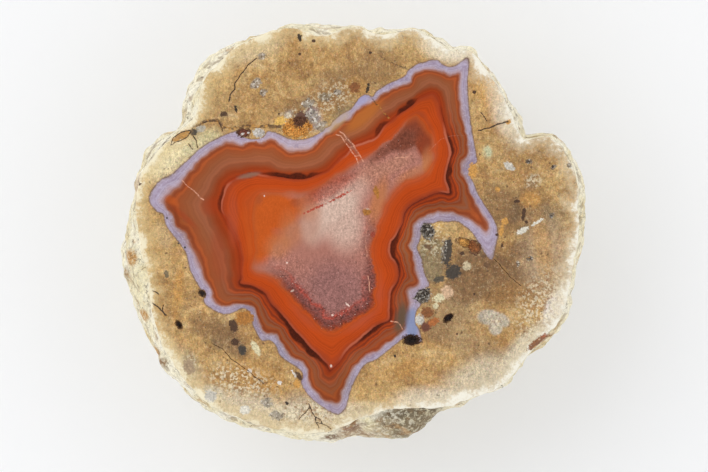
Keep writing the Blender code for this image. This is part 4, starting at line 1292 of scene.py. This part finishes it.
def rock_colour(recipe):
    """The tan host rock: mottled in soft clouds, with stains, crisp grains, specks, crumbs and a pale rim."""
    colour = recipe.ramp(recipe.noise(3.4, 8.0, 0.68, 0.5), ROCK_CLOUDS)
    colour = recipe.blot(colour, "golden_cloud", (3.2, 6.0, 0.7, 0.9), 0.48, 0.68, 0.22)
    colour = recipe.blot(colour, "pinkish_cloud", (1.3, 6.0, 0.75), 0.5, 0.62, 0.2)
    colour = recipe.blot(colour, "shadow", (1.9, 6.0, 0.75, 0.6), 0.5, 0.36, 0.3)
    colour = recipe.lay_stored(colour, "rock_tone", 0.82)
    colour = recipe.mottle(colour, (0.9, 6.0, 0.8), 1.0, 0.8)
    colour = recipe.brighten(colour, recipe.about(recipe.stretched(0.3, 3.0, 0.7), 1.0, 0.5))
    colour = recipe.mix(0.2, colour, recipe.noise(0.3, 2.0, 0.7, output="Color"), "OVERLAY")
    colour = recipe.mottle(colour, (0.22, 3.0, 0.8), 1.0, 0.9)
    colour = recipe.blot(colour, "pale_grain", (0.45, 5.0, 0.8), 0.55, 0.63, 0.26)
    colour = recipe.blot(colour, "dark_grain", (0.4, 4.0, 0.75, 0.6), 0.42, 0.35, 0.6)
    scattered = recipe.shaken(0.4)
    dots = recipe.step(recipe.cells(1.3, place=scattered), 0.17, 0.1)
    some = recipe.step(recipe.scatter(1.3, scattered), 0.6, 0.66)
    colour = recipe.lay(colour, "speck", dots, some, 0.7)
    return pale_at_rim(recipe, add_crumbs(recipe, colour))


def add_crumbs(recipe, colour):
    """The rock with the pale and rusty chips, lighter clumps and darker seams of its crumbly places."""
    crumbly = recipe.stored("crumbly")
    shifted = recipe.shaken(0.3)
    chips = recipe.scatter(0.3, shifted)
    colour = recipe.lay(colour, "bright_chip", recipe.step(chips, 0.66, 0.74), crumbly, 0.6)
    colour = recipe.lay(colour, "rusty_chip", recipe.step(chips, 0.22, 0.14), crumbly, 0.55)
    colour = recipe.blot(colour, "clump", (0.9, 5.0, 0.75), 0.55, 0.62, crumbly, 0.45)
    seams = recipe.step(recipe.cells(0.8, "DISTANCE_TO_EDGE", place=shifted), 0.09, 0.02)
    return recipe.lay(colour, "seam", seams, crumbly, 0.3)


def pale_at_rim(recipe, colour):
    """The rock made paler near its rim, and whiter there on the right than on the left."""
    to_right = recipe.step(recipe.node("ShaderNodeSeparateXYZ", {0: recipe.place}), -14.0, 18.0)
    edge = recipe.frayed("rim_mm", (3.2, 5.0, 0.65), 3.0)
    edge = recipe.math("ADD", edge, recipe.vary((0.5, 4.0, 0.7), 0.0, 1.4))
    near = recipe.mix(to_right, "left_border", "right_border")
    colour = recipe.mix(recipe.step(edge, 2.8, 0.4, 0.0, 0.55), colour, near)
    rim = recipe.mix(to_right, "left_rim", "right_rim")
    return recipe.mix(recipe.step(edge, 1.0, -0.3, 0.0, 0.92), colour, rim)


def star_colour(recipe):
    """The star: its bands, with stored tones over them, and the quartz that takes over inside them."""
    bands, band = band_colour(recipe)
    bands = recipe.lay_stored(bands, "star_tone", recipe.step(band, 3.0, 2.6, 0.0, 0.8))
    grainy = recipe.stored("grainy")
    sharp = recipe.times(recipe.step(recipe.frayed("band", (0.6, 4.0, 0.7), 0.4), 2.9, 3.2), grainy)
    soft = recipe.times(recipe.step(recipe.stored("band"), 2.6, 4.0), recipe.math("SUBTRACT", 1.0, grainy))
    return recipe.mix(recipe.math("ADD", sharp, soft), bands, quartz_colour(recipe))


def add_marks(recipe, colour, in_rock):
    """Healed fractures and scratches, open cracks with a faint stain beside them, and iron-stained veins."""
    broken = recipe.blots((0.34, 3.0, 0.7), 0.4, 0.58, 0.15, 0.95)
    colour = recipe.lay(colour, "healed", recipe.step(recipe.stored("pale_mm"), 0.07, -0.02), broken)
    crack = recipe.frayed("crack_mm", (0.3, 3.0), 0.13)
    stain = recipe.math("SUBTRACT", crack, recipe.vary((0.8, 3.0), 0.25, 0.5))
    colour = recipe.lay(colour, "ochre", recipe.step(stain, 0.15, -0.25), in_rock, 0.25)
    colour = recipe.lay(colour, "crack", recipe.step(crack, 0.06, -0.02), 0.9)
    vein = recipe.frayed("vein_mm", (0.35, 4.0, 0.7), 0.4)
    stained = recipe.mix(recipe.blots((0.6, 4.0), 0.5, 0.62), "vein", "ochre")
    return recipe.lay(colour, stained, recipe.step(vein, 0.12, -0.08), 0.85)


def face_material():
    """The polished face: rock, agate and quartz, with pits, spots, pockets and the marks that cross them."""
    recipe = Recipe("polished_face")
    depth = recipe.frayed("star_depth", (0.5, 2.0), 0.09)
    in_star = recipe.step(depth, -0.04, 0.04)
    colour = recipe.mix(in_star, rock_colour(recipe), star_colour(recipe))
    colour = recipe.lay(colour, "outline", recipe.step(recipe.gap(depth, -0.03), 0.17, 0.02), 0.4)

    pit = recipe.patch("pit_shade", 0.6, 1.3, 0.4, 0.55)
    crumbs = recipe.mottle(recipe.stored("pit_shade", "Color"), (0.24, 3.0, 0.75), 1.0, 1.8)
    crumbs = recipe.brighten(crumbs, recipe.step(recipe.scatter(0.28), 0.75, 0.85, 1.0, 1.5))
    colour = recipe.mix(pit, colour, crumbs)
    spot = recipe.patch("spot", 0.4, 1.2, 0.3, 0.6)
    speckled = recipe.mottle(recipe.stored("spot", "Color"), (0.35, 4.0, 0.8), 0.82, 1.1)
    colour = recipe.lay(colour, speckled, spot, 0.95)
    crystals = recipe.ramp(recipe.scatter(0.26), CRYSTALS)
    crystals = recipe.blot(crystals, recipe.stored("pocket", "Color"), (0.5, 4.0, 0.7), 0.42, 0.56, 0.7)
    colour = recipe.lay(colour, crystals, recipe.patch("pocket", 0.6, 1.5, 0.38, 0.62), 0.75)
    colour = add_marks(recipe, colour, recipe.step(depth, 0.0, -0.1))

    gloss = recipe.step(depth, -0.04, 0.04, ROCK_ROUGHNESS, AGATE_ROUGHNESS)
    worn = recipe.math("MAXIMUM", pit, recipe.times(spot, 0.3))
    gloss = recipe.math("MULTIPLY_ADD", worn, recipe.math("SUBTRACT", PIT_ROUGHNESS, gloss), gloss)
    roughness = recipe.math("ADD", gloss, recipe.vary((0.7, 3.0), 0.0, 0.05))
    height = recipe.times(recipe.noise(0.25, 3.0, 0.6), recipe.step(depth, 0.1, -0.1, 0.1, 1.0))
    recipe.shader.inputs["Specular IOR Level"].default_value = 0.4
    return recipe.finish(colour, roughness, height, 0.02)


def rind_material():
    """The weathered rind: chalky white and cream, with ochre stains, painted shade in its hollows and crevices,
    and dark specks.
    """
    recipe = Recipe("weathered_rind")
    colour = recipe.ramp(recipe.noise(5.0, 6.0, 0.65, 0.4), RIND_CLOUDS)
    patchy = recipe.blots((0.6, 4.0, 0.7), 0.4, 0.54, 0.4, 1.0)
    colour = recipe.lay_stored(colour, "rind_tone", patchy)
    colour = recipe.blot(colour, "rind_stain", (4.2, 5.0, 0.65, 0.8), 0.55, 0.68, 0.6)
    colour = recipe.blot(colour, "rind_rust", (2.4, 4.0, 0.6, 1.2), 0.66, 0.74, 0.6)
    # Painted shade: the relief's low places and crevices are darkened as if in shadow.
    colour = recipe.lay(colour, "hollow_shade", recipe.step(recipe.stored("relief"), -0.1, -0.5), 0.45)
    crevice_shade = recipe.frayed("crevice_shade", (0.6, 3.0), 0.06)
    colour = recipe.lay(colour, "crevice_shade", recipe.step(crevice_shade, 0.01, 0.12), 0.5)
    edges = recipe.step(recipe.gap(recipe.noise(2.6, 4.0, 0.55, 0.6), 0.5), 0.012, 0.003)
    some = recipe.blots((2.0, 2.0), 0.44, 0.56)
    colour = recipe.lay(colour, "flake_edge", edges, some, 0.75)
    some = recipe.blots((3.0, 2.0), 0.52, 0.6)
    colour = recipe.lay(colour, "rind_speck", recipe.step(recipe.cells(1.3), 0.16, 0.08), some, 0.8)
    colour = recipe.mottle(colour, (0.5, 5.0, 0.8), 0.97, 0.8)
    height = recipe.math("ADD", recipe.noise(0.6, 5.0, 0.7), recipe.times(recipe.cells(0.5), 0.4))
    return recipe.finish(colour, recipe.vary((1.2, 3.0), 0.82, 0.1), height, 0.22)


def make_floor():
    """A plain pale table that the stone lies on."""
    mesh = bpy.data.meshes.new("pale_floor")
    corners = [Vector((*corner, 0)) * FLOOR_REACH for corner in ((-1, -1), (1, -1), (1, 1), (-1, 1))]
    mesh.from_pydata(corners, [], [(0, 1, 2, 3)])
    floor = add_object("pale_floor", mesh)
    recipe = Recipe("pale_floor")
    recipe.shader.inputs["Base Color"].default_value = (0.935, 0.945, 0.965, 1.0)
    recipe.shader.inputs["Roughness"].default_value = 0.9
    recipe.shader.inputs["Specular IOR Level"].default_value = 0.2
    mesh.materials.append(recipe.material)


def make_light():
    """Even light from a pale room, darker right overhead, and from a soft window at the upper left."""
    light = bpy.data.lights.new("window", "AREA")
    light.size = WINDOW_SIZE
    light.energy = WINDOW_POWER
    lamp = add_object("window", light)
    lamp.location = WINDOW_PLACE
    lamp.rotation_euler = (-Vector(WINDOW_PLACE)).to_track_quat("-Z", "Y").to_euler()

    world = bpy.data.worlds.new("pale_room")
    bpy.context.scene.world = world
    world.use_nodes = True
    tree = world.node_tree
    background = tree.nodes["Background"]
    around = tree.nodes.new("ShaderNodeTexCoord")
    parts = tree.nodes.new("ShaderNodeSeparateXYZ")
    ramp = tree.nodes.new("ShaderNodeValToRGB")
    tree.links.new(around.outputs["Generated"], parts.inputs[0])
    tree.links.new(parts.outputs["Z"], ramp.inputs[0])
    tree.links.new(ramp.outputs[0], background.inputs["Color"])
    elements = ramp.color_ramp.elements
    elements[0].color = elements[1].color = (1.0, 1.0, 1.0, 1.0)
    elements[1].position = 0.86
    elements.new(0.95).color = (0.2, 0.2, 0.2, 1.0)
    elements.new(0.99).color = (0.04, 0.04, 0.04, 1.0)
    background.inputs["Strength"].default_value = 1.12


def make_camera():
    """A long lens straight above the stone, a little to its right and below, as in the picture."""
    data = bpy.data.cameras.new("camera")
    data.lens = LENS
    data.sensor_width = SENSOR_WIDTH
    data.clip_end = 20.0
    camera = add_object("camera", data)
    camera.location = Vector((*VIEW_MIDDLE, HEIGHT + LENS * VIEW_WIDTH / SENSOR_WIDTH)) * MM
    bpy.context.scene.camera = camera


stone = make_stone()
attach(stone, "root")
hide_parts(NODE)
make_floor()
make_light()
make_camera()
bpy.context.scene.view_settings.view_transform = "Standard"
